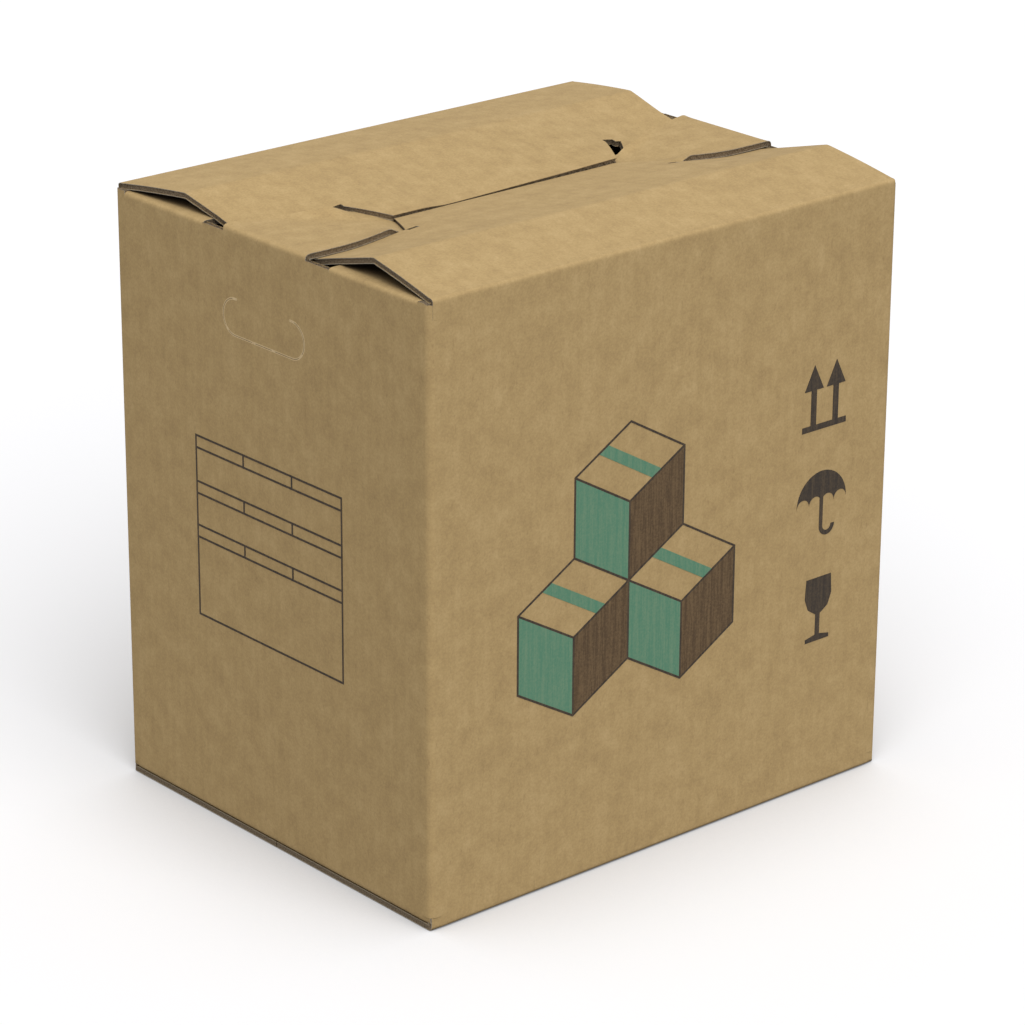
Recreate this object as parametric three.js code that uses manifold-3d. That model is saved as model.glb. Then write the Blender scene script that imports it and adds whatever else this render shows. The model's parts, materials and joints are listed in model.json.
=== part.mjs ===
import * as THREE from "three";
import { mergeVertices } from "three/addons/utils/BufferGeometryUtils.js";
import Module from "manifold-3d";

// A self-locking moving carton, folded and glued from one sheet of corrugated board, closed.
// Each short top flap is a tongue between two side tabs. The tongue lies on the corner tabs of both
// long flaps, dives through their lock slits and ends under them, so no flap opens by itself.
// Frame: the origin is under the middle of the bottom, X runs along the long walls and Z is up.
// The printed long wall faces -Y, and the short wall with the form faces -X. Sizes are millimetres.

// Overall sizes
const LENGTH = 400;
const WIDTH = 320;
const CREASE_HEIGHT = 418.5; // floor to the crown of the tongues' fold
const LONG_CREASE_RISE = 1; // how much higher the long flaps fold
const BOARD = 4;
const FOLD_RADIUS = 4.5; // outside of every flap fold
const CORNER_RADIUS = 5; // outside of the four upright creases
const CORNER_DROP = 2.5; // from the crown of a fold down to the top of an upright corner
const PLY_GAP = 0.4; // air between two plies that rest on each other
const FOLD_STEPS = 5;

// Long flaps: each rises from its wall to a pressed ridge and falls to the seam in the middle
const LONG_FLAPS = {
  front: { side: -1, ridgeReach: 60, ridgeRise: 11.8, seamSink: 6, slitDepth: 36 },
  back: { side: 1, ridgeReach: 68, ridgeRise: 8.5, seamSink: 4.5, slitDepth: 30 },
};
const SEAM_GAP = 0.8;
const FLAP_END_SETBACK = 3; // end of a long flap behind the short wall's face, at its fold
const TAB_END_SETBACK = 8.8; // and at the corner tab, which dips between the short walls
const TAB_END_REACH = 98; // distance from the long wall at which that setback is reached
const TWIST_START = 30; // from the short wall: where a corner tab starts to rise to the main panel
const TWIST_LENGTH = 80;

// Lock slits in the long flaps
const LOCK_REACH = 104; // short wall to the slit at the seam
const LOCK_RAKE = 0.56; // how far the slit comes back for each millimetre away from the seam
const LOCK_RELIEF = 14; // width of the slot that the tongue dives through
const HOOK_LENGTH = 9; // small hooked relief at the end of a slit
const HOOK_WIDTH = 2.6;

// Where the bent flaps have rows and columns of points, from the short wall or from a slit
const TAB_STATIONS = [18, 38];
const PANEL_STATION = 135;
const TONGUE_STATIONS = [9, 24, 42];
const SLIT_MARGIN = 13;

// Short flaps: a tongue in the middle and a side tab in each corner
const TONGUE = {
  front: { crease: 40.6, neck: 34 },
  back: { crease: 43, neck: 24 },
};
const TONGUE_CURVE = 1.9; // power of the tongue's side curves
const TONGUE_SAG = 6.5; // how far the middle of the tongue has sunk where it starts to dive
const TONGUE_TIP = 24; // length hidden under the long flaps
const TIP_DROP = 2;
const SIDE_TAB_START = 11; // from the long wall's face
const SIDE_TAB_LENGTH = 92;
const NOTCH = { front: 23, back: 22 }; // open width between a side tab and the tongue
const NOTCH_DEPTH = 3.5; // from the crown of the fold down to the notch's raw edge

// Bottom: two long outer flaps that meet in the middle, on two short inner flaps
const BOTTOM_INNER_LENGTH = 150;
const BOTTOM_SLOT = 1; // from an upright corner to the end of a bottom flap
const GLUE_LAP = 35; // width of the lap that joins the sheet's two ends, inside a corner

// Hand holes: a die-cut tab that is still in place, hinged along its top
const HAND_HOLE = { width: 83, height: 24.6, offset: 3, centreHeight: 360, hinge: 54, cut: 0.7, nick: 2.5 };

// Print
const INK = 0.2;
const INK_MARGIN = 0.1; // bare board between two inks
const LINE = 1.4;
const FORM = { width: 151, bottom: 143, rows: [8.4, 23.4, 8.3, 22.3, 8.3, 54.8], columns: 3, offset: 1.5 };
const CUBE = 54; // edge of a drawn carton in the picture of three stacked cartons
const STACK_CENTRE = new THREE.Vector2(-35, 170); // between the two lower cartons, on the front wall
const TAPE_SHARE = 0.2; // width of the drawn tape, of the carton's edge
const MARK = { size: 46, inset: 62, bottom: 108, pitch: 76 }; // inset from the far end to their middle

const KRAFT = 0xa88e63;
const GREEN_INK = 0x5f8a70;
const BROWN_INK = 0x5a4838;
const DARK_INK = 0x3a332c;

const HALF_LENGTH = LENGTH / 2;
const HALF_WIDTH = WIDTH / 2;
const WALL_TOP = CREASE_HEIGHT - FOLD_RADIUS - 2 * BOARD; // the plain walls end here, below every fold
const INNER_FLOOR = BOARD + PLY_GAP; // underside of the short bottom flaps
const WALL_BOTTOM = INNER_FLOOR + FOLD_RADIUS;
const SEAM = HALF_WIDTH - SEAM_GAP / 2; // distance from a long wall's face to its flap's free edge

const wasm = await Module();
wasm.setup();

// A closed geometry as a solid, with its faces turned outwards.
function toSolid(geometry) {
  const bare = geometry.index ? geometry.toNonIndexed() : geometry.clone();
  bare.deleteAttribute("normal");
  bare.deleteAttribute("uv");
  const merged = mergeVertices(bare, 1e-4);
  const vertProperties = merged.attributes.position.array;
  const triVerts = new Uint32Array(merged.index.array);
  if (signedVolume(vertProperties, triVerts) < 0)
    for (let i = 0; i < triVerts.length; i += 3)
      [triVerts[i + 1], triVerts[i + 2]] = [triVerts[i + 2], triVerts[i + 1]];
  return new wasm.Manifold(new wasm.Mesh({ numProp: 3, vertProperties, triVerts }));
}

function signedVolume(points, triangles) {
  const corner = (k) => new THREE.Vector3().fromArray(points, 3 * triangles[k]);
  let six = 0;
  for (let i = 0; i < triangles.length; i += 3)
    six += corner(i).dot(corner(i + 1).cross(corner(i + 2)));
  return six / 6;
}

function toGeometry(solid) {
  const { numProp, numVert, vertProperties, triVerts } = solid.getMesh();
  const points = new Float32Array(numVert * 3);
  for (let i = 0; i < numVert; i++)
    points.set(vertProperties.subarray(i * numProp, i * numProp + 3), i * 3);
  const geometry = new THREE.BufferGeometry();
  geometry.setAttribute("position", new THREE.BufferAttribute(points, 3));
  geometry.setIndex(new THREE.BufferAttribute(triVerts, 1));
  geometry.computeVertexNormals();
  return geometry;
}

const join = (solids) => solids.reduce((sum, next) => sum.add(next));
const mix = THREE.MathUtils.lerp;
const smoothstep = THREE.MathUtils.smoothstep;

// A bent board from two grids of points, its outer and inner faces. Cells that keeps() refuses are left
// open, and each open edge is closed through the board's thickness.
function boardSolid(outer, inner, keeps = () => true) {
  const rows = outer.length;
  const columns = outer[0].length;
  const out = (i, j) => i * columns + j;
  const inn = (i, j) => (rows + i) * columns + j;
  const kept = (i, j) => i >= 0 && j >= 0 && i < rows - 1 && j < columns - 1 && keeps(i, j);
  const index = [];
  const quad = (a, b, c, d) => index.push(a, b, c, a, c, d);
  for (let i = 0; i < rows - 1; i++)
    for (let j = 0; j < columns - 1; j++) {
      if (!kept(i, j)) continue;
      quad(out(i, j), out(i + 1, j), out(i + 1, j + 1), out(i, j + 1));
      quad(inn(i, j), inn(i, j + 1), inn(i + 1, j + 1), inn(i + 1, j));
      if (!kept(i - 1, j)) quad(out(i, j), out(i, j + 1), inn(i, j + 1), inn(i, j));
      if (!kept(i + 1, j)) quad(out(i + 1, j + 1), out(i + 1, j), inn(i + 1, j), inn(i + 1, j + 1));
      if (!kept(i, j - 1)) quad(out(i + 1, j), out(i, j), inn(i, j), inn(i + 1, j));
      if (!kept(i, j + 1)) quad(out(i, j + 1), out(i + 1, j + 1), inn(i + 1, j + 1), inn(i, j + 1));
    }
  const geometry = new THREE.BufferGeometry();
  const points = [...outer.flat(), ...inner.flat()].flatMap((p) => p.toArray());
  geometry.setAttribute("position", new THREE.Float32BufferAttribute(points, 3));
  geometry.setIndex(index);
  return toSolid(geometry);
}

// A fold seen end on: from the wall's face round to the direction of the flap. Each entry holds a point
// of the outer face and the outward normal, as (distance behind the wall's face, height).
function foldProfile(start, crown, turn) {
  const centre = new THREE.Vector2(FOLD_RADIUS, crown - FOLD_RADIUS);
  const profile = [{ point: new THREE.Vector2(0, start), normal: new THREE.Vector2(-1, 0) }];
  for (let k = 0; k <= FOLD_STEPS; k++) {
    const angle = Math.PI - (turn * k) / FOLD_STEPS;
    const normal = new THREE.Vector2(Math.cos(angle), Math.sin(angle));
    profile.push({ point: centre.clone().addScaledVector(normal, FOLD_RADIUS), normal });
  }
  return profile;
}

// The long flaps' outer face. e is the distance from the nearer short wall's face, d the distance from
// the flap's own wall.
const lockReach = (fromSeam) => LOCK_REACH - LOCK_RAKE * Math.abs(fromSeam);
const ridgeHeight = (flap) => CREASE_HEIGHT + flap.ridgeRise;
const seamHeight = (flap) => CREASE_HEIGHT - flap.seamSink;
const lowestSeam = Math.min(...Object.values(LONG_FLAPS).map(seamHeight));
const tabSeamHeight = lowestSeam - 2 * (BOARD + PLY_GAP); // under the tongue, which is under the seam
const slitEnd = (flap) => HALF_WIDTH - flap.slitDepth;

function longFlapHeight(flap, e, d, isTab) {
  const ridge = ridgeHeight(flap);
  if (d <= flap.ridgeReach) return ridge;
  const fall = (target) => (ridge - target) / (HALF_WIDTH - flap.ridgeReach);
  const twist = smoothstep(e, TWIST_START, TWIST_START + TWIST_LENGTH);
  const slope = mix(fall(tabSeamHeight), fall(seamHeight(flap)), twist);
  const outerPart = ridge - slope * (Math.min(d, slitEnd(flap)) - flap.ridgeReach);
  if (d <= slitEnd(flap)) return outerPart;
  const target = isTab ? tabSeamHeight : seamHeight(flap);
  return mix(outerPart, target, (d - slitEnd(flap)) / flap.slitDepth);
}

// One long flap, from the top of its wall to the seam, with a lock slot at each end.
function longFlap(flap) {
  const crown = CREASE_HEIGHT + LONG_CREASE_RISE;
  const ridge = new THREE.Vector2(flap.ridgeReach, ridgeHeight(flap));
  const toRidge = ridge.clone().sub(new THREE.Vector2(FOLD_RADIUS, crown - FOLD_RADIUS));
  const rise = toRidge.angle() - Math.asin(FOLD_RADIUS / toRidge.length());
  const fold = foldProfile(WALL_TOP, crown, Math.PI / 2 - rise);
  const end = slitEnd(flap);
  const panelRows = [(flap.ridgeReach + end) / 2, end - SLIT_MARGIN, end];
  panelRows.push(mix(end, SEAM, 1 / 3), mix(end, SEAM, 2 / 3), SEAM);
  const rowCount = fold.length + 1 + panelRows.length;
  const slitRow = fold.length + 3;

  // Columns from one end to the middle. Two of them follow the slot's sides.
  const columnsAt = (d) => {
    const setback = mix(FLAP_END_SETBACK, TAB_END_SETBACK, Math.min(1, d / TAB_END_REACH));
    const lock = lockReach(HALF_WIDTH - Math.max(d, end));
    const slit = [lock - LOCK_RELIEF - SLIT_MARGIN, lock - LOCK_RELIEF, lock, lock + SLIT_MARGIN];
    return [setback, ...TAB_STATIONS, ...slit, PANEL_STATION, HALF_LENGTH];
  };
  const slotColumn = TAB_STATIONS.length + 2;
  const lastColumn = 2 * columnsAt(0).length - 2;

  const outer = [];
  const inner = [];
  for (let i = 0; i < rowCount; i++) {
    const rowOuter = [];
    const rowInner = [];
    for (let j = 0; j <= lastColumn; j++) {
      const near = Math.min(j, lastColumn - j);
      const panelRow = i - fold.length;
      const d = panelRow < 0 ? fold[i].point.x : panelRow === 0 ? flap.ridgeReach : panelRows[panelRow - 1];
      const e = columnsAt(d)[near];
      const isTab = near <= slotColumn;
      const nextD = panelRow < 1 ? panelRows[0] : d;
      const lastD = panelRow < 2 ? flap.ridgeReach : panelRows[panelRow - 2];
      const drop = longFlapHeight(flap, e, nextD, isTab) - longFlapHeight(flap, e, lastD, isTab);
      const fallAngle = Math.atan2(drop, nextD - lastD);
      let point;
      let normal;
      if (panelRow < 0) {
        point = fold[i].point;
        normal = fold[i].normal;
      } else {
        const tilt = panelRow === 0 ? (rise + fallAngle) / 2 : fallAngle;
        const mitre = panelRow === 0 ? Math.cos((rise - fallAngle) / 2) : 1;
        point = new THREE.Vector2(d, longFlapHeight(flap, e, d, isTab));
        normal = new THREE.Vector2(-Math.sin(tilt), Math.cos(tilt)).divideScalar(mitre);
      }
      const x = (j <= lastColumn / 2 ? -1 : 1) * (HALF_LENGTH - e);
      const place = (p) => new THREE.Vector3(x, flap.side * (HALF_WIDTH - p.x), p.y);
      rowOuter.push(place(point));
      rowInner.push(place(point.clone().addScaledVector(normal, -BOARD)));
    }
    outer.push(rowOuter);
    inner.push(rowInner);
  }
  const inSlot = (i, j) => i >= slitRow && (j === slotColumn || j === lastColumn - 1 - slotColumn);
  return boardSolid(outer, inner, (i, j) => !inSlot(i, j));
}

// The hooked relief at the end of each slit, as an upright cutter through the flap.
function hookCutter(flap, end) {
  const lock = lockReach(flap.slitDepth);
  const hook = new THREE.Shape();
  const half = HOOK_WIDTH / 2;
  hook.absarc(half, 0, half, Math.PI / 2, (3 * Math.PI) / 2);
  hook.absarc(HOOK_LENGTH - half, 0, half, -Math.PI / 2, Math.PI / 2);
  const height = ridgeHeight(flap) - tabSeamHeight;
  const cutter = new THREE.ExtrudeGeometry(hook, { depth: height, bevelEnabled: false, curveSegments: 6 });
  cutter.rotateZ(end < 0 ? 0 : Math.PI);
  cutter.translate(
    end * (HALF_LENGTH - lock + HOOK_LENGTH / 2),
    flap.side * (flap.slitDepth + half - 0.2),
    tabSeamHeight,
  );
  return toSolid(cutter);
}

// How far the tongue spreads from the seam, towards one long wall, at a distance e from the short wall.
function tongueSpread(edge, e) {
  const progress = Math.min(1, e / (LOCK_REACH - LOCK_RELIEF));
  return mix(edge.crease, edge.neck, progress ** TONGUE_CURVE);
}

const flapAt = (y) => (y < 0 ? LONG_FLAPS.front : LONG_FLAPS.back);

// Height of the tongue's outer face: over the corner tabs, then down through the slot.
function tongueHeight(e, y) {
  const d = HALF_WIDTH - Math.abs(y);
  const lock = lockReach(Math.min(Math.abs(y), flapAt(y).slitDepth));
  const ply = BOARD + PLY_GAP;
  const sagged = CREASE_HEIGHT - TONGUE_SAG * Math.min(1, e / (LOCK_REACH - LOCK_RELIEF)) ** 1.5;
  const tabEdge = Math.min(e, lock - LOCK_RELIEF);
  const over = Math.max(sagged, longFlapHeight(flapAt(y), tabEdge, d, true) + ply);
  const overhead = Object.values(LONG_FLAPS).map((flap) => longFlapHeight(flap, lock, d, false));
  const under = Math.min(...overhead) - ply;
  const dive = smoothstep(e, lock - LOCK_RELIEF, lock);
  const tip = (Math.max(0, e - lock) / TONGUE_TIP) * TIP_DROP;
  return mix(over, under, dive) - tip;
}

// The tongue at one end: side is -1 at the short wall that faces -X, and 1 at the other.
function tongue(side) {
  const acrossSteps = 10;
  const fromLock = [-LOCK_RELIEF, -LOCK_RELIEF / 2, 0, TONGUE_TIP / 2, TONGUE_TIP];
  const stationAt = (k, lock) => TONGUE_STATIONS[k] ?? lock + fromLock[k - TONGUE_STATIONS.length];
  const lift = (y) => Math.max(0, tongueHeight(FOLD_RADIUS, y) - CREASE_HEIGHT);
  const outer = [];
  const inner = [];
  const place = (p, y) => new THREE.Vector3(side * (HALF_LENGTH - p.x), y, p.y);
  const foldRows = foldProfile(WALL_TOP, CREASE_HEIGHT, Math.PI / 2).length;
  for (let i = 0; i < foldRows + TONGUE_STATIONS.length + fromLock.length; i++) {
    const station = i - foldRows;
    const rowOuter = [];
    const rowInner = [];
    for (let j = 0; j <= acrossSteps; j++) {
      const across = (2 * j) / acrossSteps - 1;
      const edge = across < 0 ? TONGUE.front : TONGUE.back;
      const edgeE = station < 0 ? 0 : stationAt(station, lockReach(edge.neck));
      const y = across * tongueSpread(edge, edgeE);
      if (station < 0) {
        const { point, normal } = foldProfile(WALL_TOP, CREASE_HEIGHT + lift(y), Math.PI / 2)[i];
        rowOuter.push(place(point, y));
        rowInner.push(place(point.clone().addScaledVector(normal, -BOARD), y));
      } else {
        const e = stationAt(station, lockReach(y));
        const point = new THREE.Vector2(e, tongueHeight(e, y));
        rowOuter.push(place(point, y));
        rowInner.push(place(point.clone().sub(new THREE.Vector2(0, BOARD)), y));
      }
    }
    outer.push(rowOuter);
    inner.push(rowInner);
  }
  return boardSolid(outer, inner);
}

// A folded board of one section: the fold at the top of a wall, and the flap behind it, level.
function levelFlapShape(start, crown, reach) {
  const fold = foldProfile(start, crown, Math.PI / 2);
  const outside = fold.map(({ point }) => point);
  const inside = fold.map(({ point, normal }) => point.clone().addScaledVector(normal, -BOARD));
  const free = [new THREE.Vector2(reach, crown), new THREE.Vector2(reach, crown - BOARD)];
  return new THREE.Shape([...outside, ...free, ...inside.reverse()]);
}

// The shape carried along Y, at the short wall on the given side. It spans from low to high.
function alongShortWall(shape, side, low, high) {
  const flap = new THREE.ExtrudeGeometry(shape, { depth: high - low, bevelEnabled: false });
  flap.rotateX(Math.PI / 2);
  flap.translate(0, high, 0);
  flap.translate(-HALF_LENGTH, 0, 0);
  if (side > 0) flap.scale(-1, 1, 1);
  return toSolid(flap);
}

// The shape carried along X, at the long wall on the given side.
function alongLongWall(shape, side, span) {
  const flap = new THREE.ExtrudeGeometry(shape, { depth: span, bevelEnabled: false });
  flap.rotateX(Math.PI / 2);
  flap.rotateZ(Math.PI / 2);
  flap.translate(-span / 2, -HALF_WIDTH, 0);
  if (side > 0) flap.scale(1, -1, 1);
  return toSolid(flap);
}

// A side tab of a short flap, level under the hump of the long flap in its corner, and the raw edge of
// the notch beside it.
function sideTab(side, name) {
  const flap = LONG_FLAPS[name];
  const reach = HALF_WIDTH - TONGUE[name].crease - NOTCH[name];
  const fallToTab = longFlapHeight(flap, 0, reach, true);
  const risen = mix(CREASE_HEIGHT + LONG_CREASE_RISE, ridgeHeight(flap), SIDE_TAB_START / flap.ridgeReach);
  const crown = Math.min(fallToTab, risen, CREASE_HEIGHT + BOARD + PLY_GAP) - BOARD - PLY_GAP;
  const shape = levelFlapShape(WALL_TOP, crown, SIDE_TAB_LENGTH);
  const from = HALF_WIDTH - SIDE_TAB_START;
  const to = HALF_WIDTH - reach;
  const [low, high] = flap.side < 0 ? [-from, -to] : [to, from];
  const tab = alongShortWall(shape, side, low, high);
  const edgeHeight = CREASE_HEIGHT - NOTCH_DEPTH - WALL_TOP;
  const rawEdge = new THREE.BoxGeometry(BOARD, NOTCH[name], edgeHeight);
  const middle = flap.side * (TONGUE[name].crease + NOTCH[name] / 2);
  rawEdge.translate(side * (HALF_LENGTH - BOARD / 2), middle, WALL_TOP + edgeHeight / 2);
  return join([tab, toSolid(rawEdge)]);
}

function roundedRectangle(Type, length, width, radius) {
  const shape = new Type();
  const x = length / 2 - radius;
  const y = width / 2 - radius;
  shape.absarc(x, y, radius, 0, Math.PI / 2);
  shape.absarc(-x, y, radius, Math.PI / 2, Math.PI);
  shape.absarc(-x, -y, radius, Math.PI, 1.5 * Math.PI);
  shape.absarc(x, -y, radius, 1.5 * Math.PI, 2 * Math.PI);
  shape.closePath();
  return shape;
}

// The plan's outline, rounded at the upright creases, carried up. A ring has only the walls' thickness.
function upright(bottom, top, isRing) {
  const outline = roundedRectangle(THREE.Shape, LENGTH, WIDTH, CORNER_RADIUS);
  const inside = roundedRectangle(THREE.Path, LENGTH - 2 * BOARD, WIDTH - 2 * BOARD, CORNER_RADIUS - BOARD);
  if (isRing) outline.holes.push(inside);
  const settings = { depth: top - bottom, bevelEnabled: false, curveSegments: 5 };
  const prism = new THREE.ExtrudeGeometry(outline, settings);
  prism.translate(0, 0, bottom);
  return toSolid(prism);
}

// The four walls. Each upright corner stands up between the folds of the two flaps beside it.
function walls() {
  const cornerTop = CREASE_HEIGHT - CORNER_DROP;
  const corners = [];
  for (const x of [-1, 1])
    for (const y of [-1, 1]) {
      const box = new THREE.BoxGeometry(2 * FLAP_END_SETBACK + 2, 2 * SIDE_TAB_START + 2, 2 * CREASE_HEIGHT);
      corners.push(toSolid(box.translate(x * HALF_LENGTH, y * HALF_WIDTH, 0)));
    }
  const stubs = upright(WALL_BOTTOM, cornerTop, true).intersect(join(corners));
  return join([upright(WALL_BOTTOM, WALL_TOP, true), stubs]);
}

// The lap that closes the sheet into a tube, glued inside the back wall next to a corner.
function glueLap() {
  const height = WALL_TOP - WALL_BOTTOM;
  const lap = new THREE.Shape();
  lap.moveTo(0, WALL_BOTTOM);
  lap.lineTo(GLUE_LAP, WALL_BOTTOM + GLUE_LAP / 2);
  lap.lineTo(GLUE_LAP, WALL_BOTTOM + height - GLUE_LAP / 2);
  lap.lineTo(0, WALL_BOTTOM + height);
  lap.closePath();
  const board = new THREE.ExtrudeGeometry(lap, { depth: BOARD, bevelEnabled: false });
  board.rotateX(Math.PI / 2);
  board.translate(BOARD - HALF_LENGTH, HALF_WIDTH - BOARD, 0);
  return toSolid(board);
}

// The die-cut line of a hand hole, as a cutter through a short wall. It is the outline of a slot with
// round ends, without the hinge along its top and without the small nicks that hold the tab.
function handHoleCutter(side) {
  const { width, height, offset, centreHeight, hinge, cut, nick } = HAND_HOLE;
  const line = roundedRectangle(THREE.Shape, width, height, height / 2 - 0.01);
  const within = roundedRectangle(THREE.Path, width - 2 * cut, height - 2 * cut, height / 2 - cut - 0.01);
  line.holes.push(within);
  const depth = 3 * BOARD;
  const ring = new THREE.ExtrudeGeometry(line, { depth, bevelEnabled: false, curveSegments: 8 });
  ring.translate(0, 0, -depth / 2);
  const bridges = [new THREE.BoxGeometry(hinge, height, 2 * depth).translate(0, height / 2, 0)];
  for (const at of [-0.25, 0.25]) {
    const bridge = new THREE.BoxGeometry(nick, height, 2 * depth);
    bridges.push(bridge.translate(at * hinge, -height / 2, 0));
  }
  for (const at of [-1, 1]) {
    const bridge = new THREE.BoxGeometry(height, nick, 2 * depth);
    bridges.push(bridge.translate((at * width) / 2, 0, 0));
  }
  const cutter = toGeometry(toSolid(ring).subtract(join(bridges.map(toSolid))));
  cutter.rotateX(Math.PI / 2);
  cutter.rotateZ(Math.PI / 2);
  cutter.translate(side * (HALF_LENGTH - BOARD / 2), offset, centreHeight);
  return toSolid(cutter);
}

// The two plies of the bottom. Each flap's section is the top flap's, turned upside down.
function bottomFlap(side, isLong) {
  const under = isLong ? 0 : INNER_FLOOR;
  const reach = isLong ? SEAM : BOTTOM_INNER_LENGTH;
  const turned = levelFlapShape(-WALL_BOTTOM, -under, reach).getPoints();
  const shape = new THREE.Shape(turned.map((p) => new THREE.Vector2(p.x, -p.y)));
  if (isLong) return alongLongWall(shape, side, LENGTH - 2 * BOTTOM_SLOT);
  return alongShortWall(shape, side, BOTTOM_SLOT - HALF_WIDTH, HALF_WIDTH - BOTTOM_SLOT);
}

function carton() {
  const solids = [walls(), glueLap()];
  const cutters = [];
  for (const flap of Object.values(LONG_FLAPS)) {
    solids.push(longFlap(flap));
    for (const end of [-1, 1]) cutters.push(hookCutter(flap, end));
  }
  for (const side of [-1, 1]) {
    solids.push(tongue(side), sideTab(side, "front"), sideTab(side, "back"));
    solids.push(bottomFlap(side, true), bottomFlap(side, false));
    cutters.push(handHoleCutter(side));
  }
  const plan = upright(0, 2 * CREASE_HEIGHT, false);
  return toGeometry(join(solids).subtract(join(cutters)).intersect(plan));
}

// Print: every field is a flat shape in the wall's own plane, with x to the right and y up
const inkLayer = (shape) =>
  new THREE.ExtrudeGeometry(shape, { depth: INK, bevelEnabled: false, curveSegments: 12 });

const joinedInk = (geometries) => toGeometry(join(geometries.map(toSolid)));

const rectangle = (x0, y0, x1, y1) =>
  [[x0, y0], [x1, y0], [x1, y1], [x0, y1]].map(([x, y]) => new THREE.Vector2(x, y));

// A polygon's corners, anticlockwise, moved outwards by a distance, or inwards where it is negative.
function spread(corners, distance) {
  return corners.map((corner, k) => {
    const before = corner.clone().sub(corners.at(k - 1)).normalize();
    const after = corners[(k + 1) % corners.length].clone().sub(corner).normalize();
    const outward = new THREE.Vector2(before.y + after.y, -before.x - after.x);
    return corner.clone().addScaledVector(outward, distance / (1 + before.dot(after)));
  });
}

// Drawn lines: what is left of the outer edge's inside between the given openings.
function linework(outerEdge, openings) {
  const cutters = openings.map((opening) => {
    const through = { depth: 3 * INK, bevelEnabled: false };
    return toSolid(new THREE.ExtrudeGeometry(new THREE.Shape(opening), through).translate(0, 0, -INK));
  });
  return toGeometry(toSolid(inkLayer(new THREE.Shape(outerEdge))).subtract(join(cutters)));
}

// An empty form: three headed rows, each heading in equal cells.
function formPrint() {
  const { width, bottom, rows, columns } = FORM;
  const height = rows.reduce((sum, row) => sum + row);
  const openings = [];
  let top = bottom + height;
  rows.forEach((row, k) => {
    const cells = k % 2 === 0 ? columns : 1;
    for (let c = 0; c < cells; c++) {
      const left = (c / cells - 0.5) * width;
      openings.push(spread(rectangle(left, top - row, left + width / cells, top), -LINE / 2));
    }
    top -= row;
  });
  const edge = rectangle(-width / 2, bottom, width / 2, bottom + height);
  return linework(spread(edge, LINE / 2), openings);
}

// A point on a face of a drawn carton: u and v run from 0 to 1 along the face's two edges.
const CUBE_SIDE = CUBE * Math.cos(Math.PI / 6);
const UP = new THREE.Vector2(0, CUBE);
const LEFT = new THREE.Vector2(-CUBE_SIDE, CUBE / 2);
const RIGHT = new THREE.Vector2(CUBE_SIDE, CUBE / 2);
const FACES = {
  left: { corner: UP.clone().negate(), across: LEFT, along: UP },
  right: { corner: UP.clone().negate(), across: RIGHT, along: UP },
  top: { corner: new THREE.Vector2(), across: LEFT, along: RIGHT },
};

function facePoint(centre, face, u, v) {
  const { corner, across, along } = FACES[face];
  return centre.clone().add(corner).addScaledVector(across, u).addScaledVector(along, v);
}

// A face's corners, or those of a band across it from v0 to v1, anticlockwise.
function faceCorners(centre, face, v0 = 0, v1 = 1) {
  const corners = [[0, v0], [1, v0], [1, v1], [0, v1]].map(([u, v]) => facePoint(centre, face, u, v));
  return THREE.ShapeUtils.area(corners) < 0 ? corners.reverse() : corners;
}

// A coloured field that stays clear of the outlines around its face.
const faceField = (centre, face, v0, v1) =>
  new THREE.Shape(spread(faceCorners(centre, face, v0, v1), -LINE / 2 - INK_MARGIN));

function cubeCentres() {
  const side = new THREE.Vector2(CUBE_SIDE, 0);
  const above = new THREE.Vector2(0, 1.5 * CUBE);
  return [STACK_CENTRE.clone().sub(side), STACK_CENTRE.clone().add(side), STACK_CENTRE.clone().add(above)];
}

// The lines around the faces of all three cartons. The outer edge is counted in half widths and edges.
function stackOutline() {
  const turns = [[-1, -1], [0, -0.5], [1, -1], [2, -0.5], [2, 0.5], [1, 1], [1, 2], [0, 2.5]];
  turns.push([-1, 2], [-1, 1], [-2, 0.5], [-2, -0.5]);
  const edge = turns.map(([x, y]) => new THREE.Vector2(x * CUBE_SIDE, y * CUBE).add(STACK_CENTRE));
  const openings = cubeCentres().flatMap((centre) =>
    Object.keys(FACES).map((face) => spread(faceCorners(centre, face), -LINE / 2)),
  );
  return linework(spread(edge, LINE / 2), openings);
}

// Plain handling marks, each drawn in a square of the mark's size that starts at (0, 0)
function upArrows() {
  const s = MARK.size;
  const parts = [new THREE.Shape(rectangle(0.06 * s, 0, 0.94 * s, 0.09 * s))];
  for (const x of [0.28 * s, 0.72 * s]) {
    const arrow = [[-0.055, 0.05], [0.055, 0.05], [0.055, 0.62], [0.19, 0.62], [0, 1]];
    arrow.push([-0.19, 0.62], [-0.055, 0.62]);
    parts.push(new THREE.Shape(arrow.map(([a, b]) => new THREE.Vector2(x + a * s, b * s))));
  }
  return joinedInk(parts.map(inkLayer));
}

function umbrella() {
  const s = MARK.size;
  const canopy = new THREE.Shape();
  canopy.absarc(s / 2, 0.5 * s, s / 2, 0, Math.PI);
  for (const k of [0, 1, 2, 3]) canopy.absarc((k + 0.5) * (s / 4), 0.5 * s, s / 8, Math.PI, 0, true);
  const hook = new THREE.Shape();
  hook.absarc(0.62 * s, 0.14 * s, 0.155 * s, Math.PI, 2 * Math.PI);
  hook.absarc(0.62 * s, 0.14 * s, 0.085 * s, 2 * Math.PI, Math.PI, true);
  const stem = new THREE.Shape(rectangle(0.465 * s, 0.135 * s, 0.535 * s, 0.9 * s));
  return joinedInk([canopy, hook, stem].map(inkLayer));
}

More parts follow.
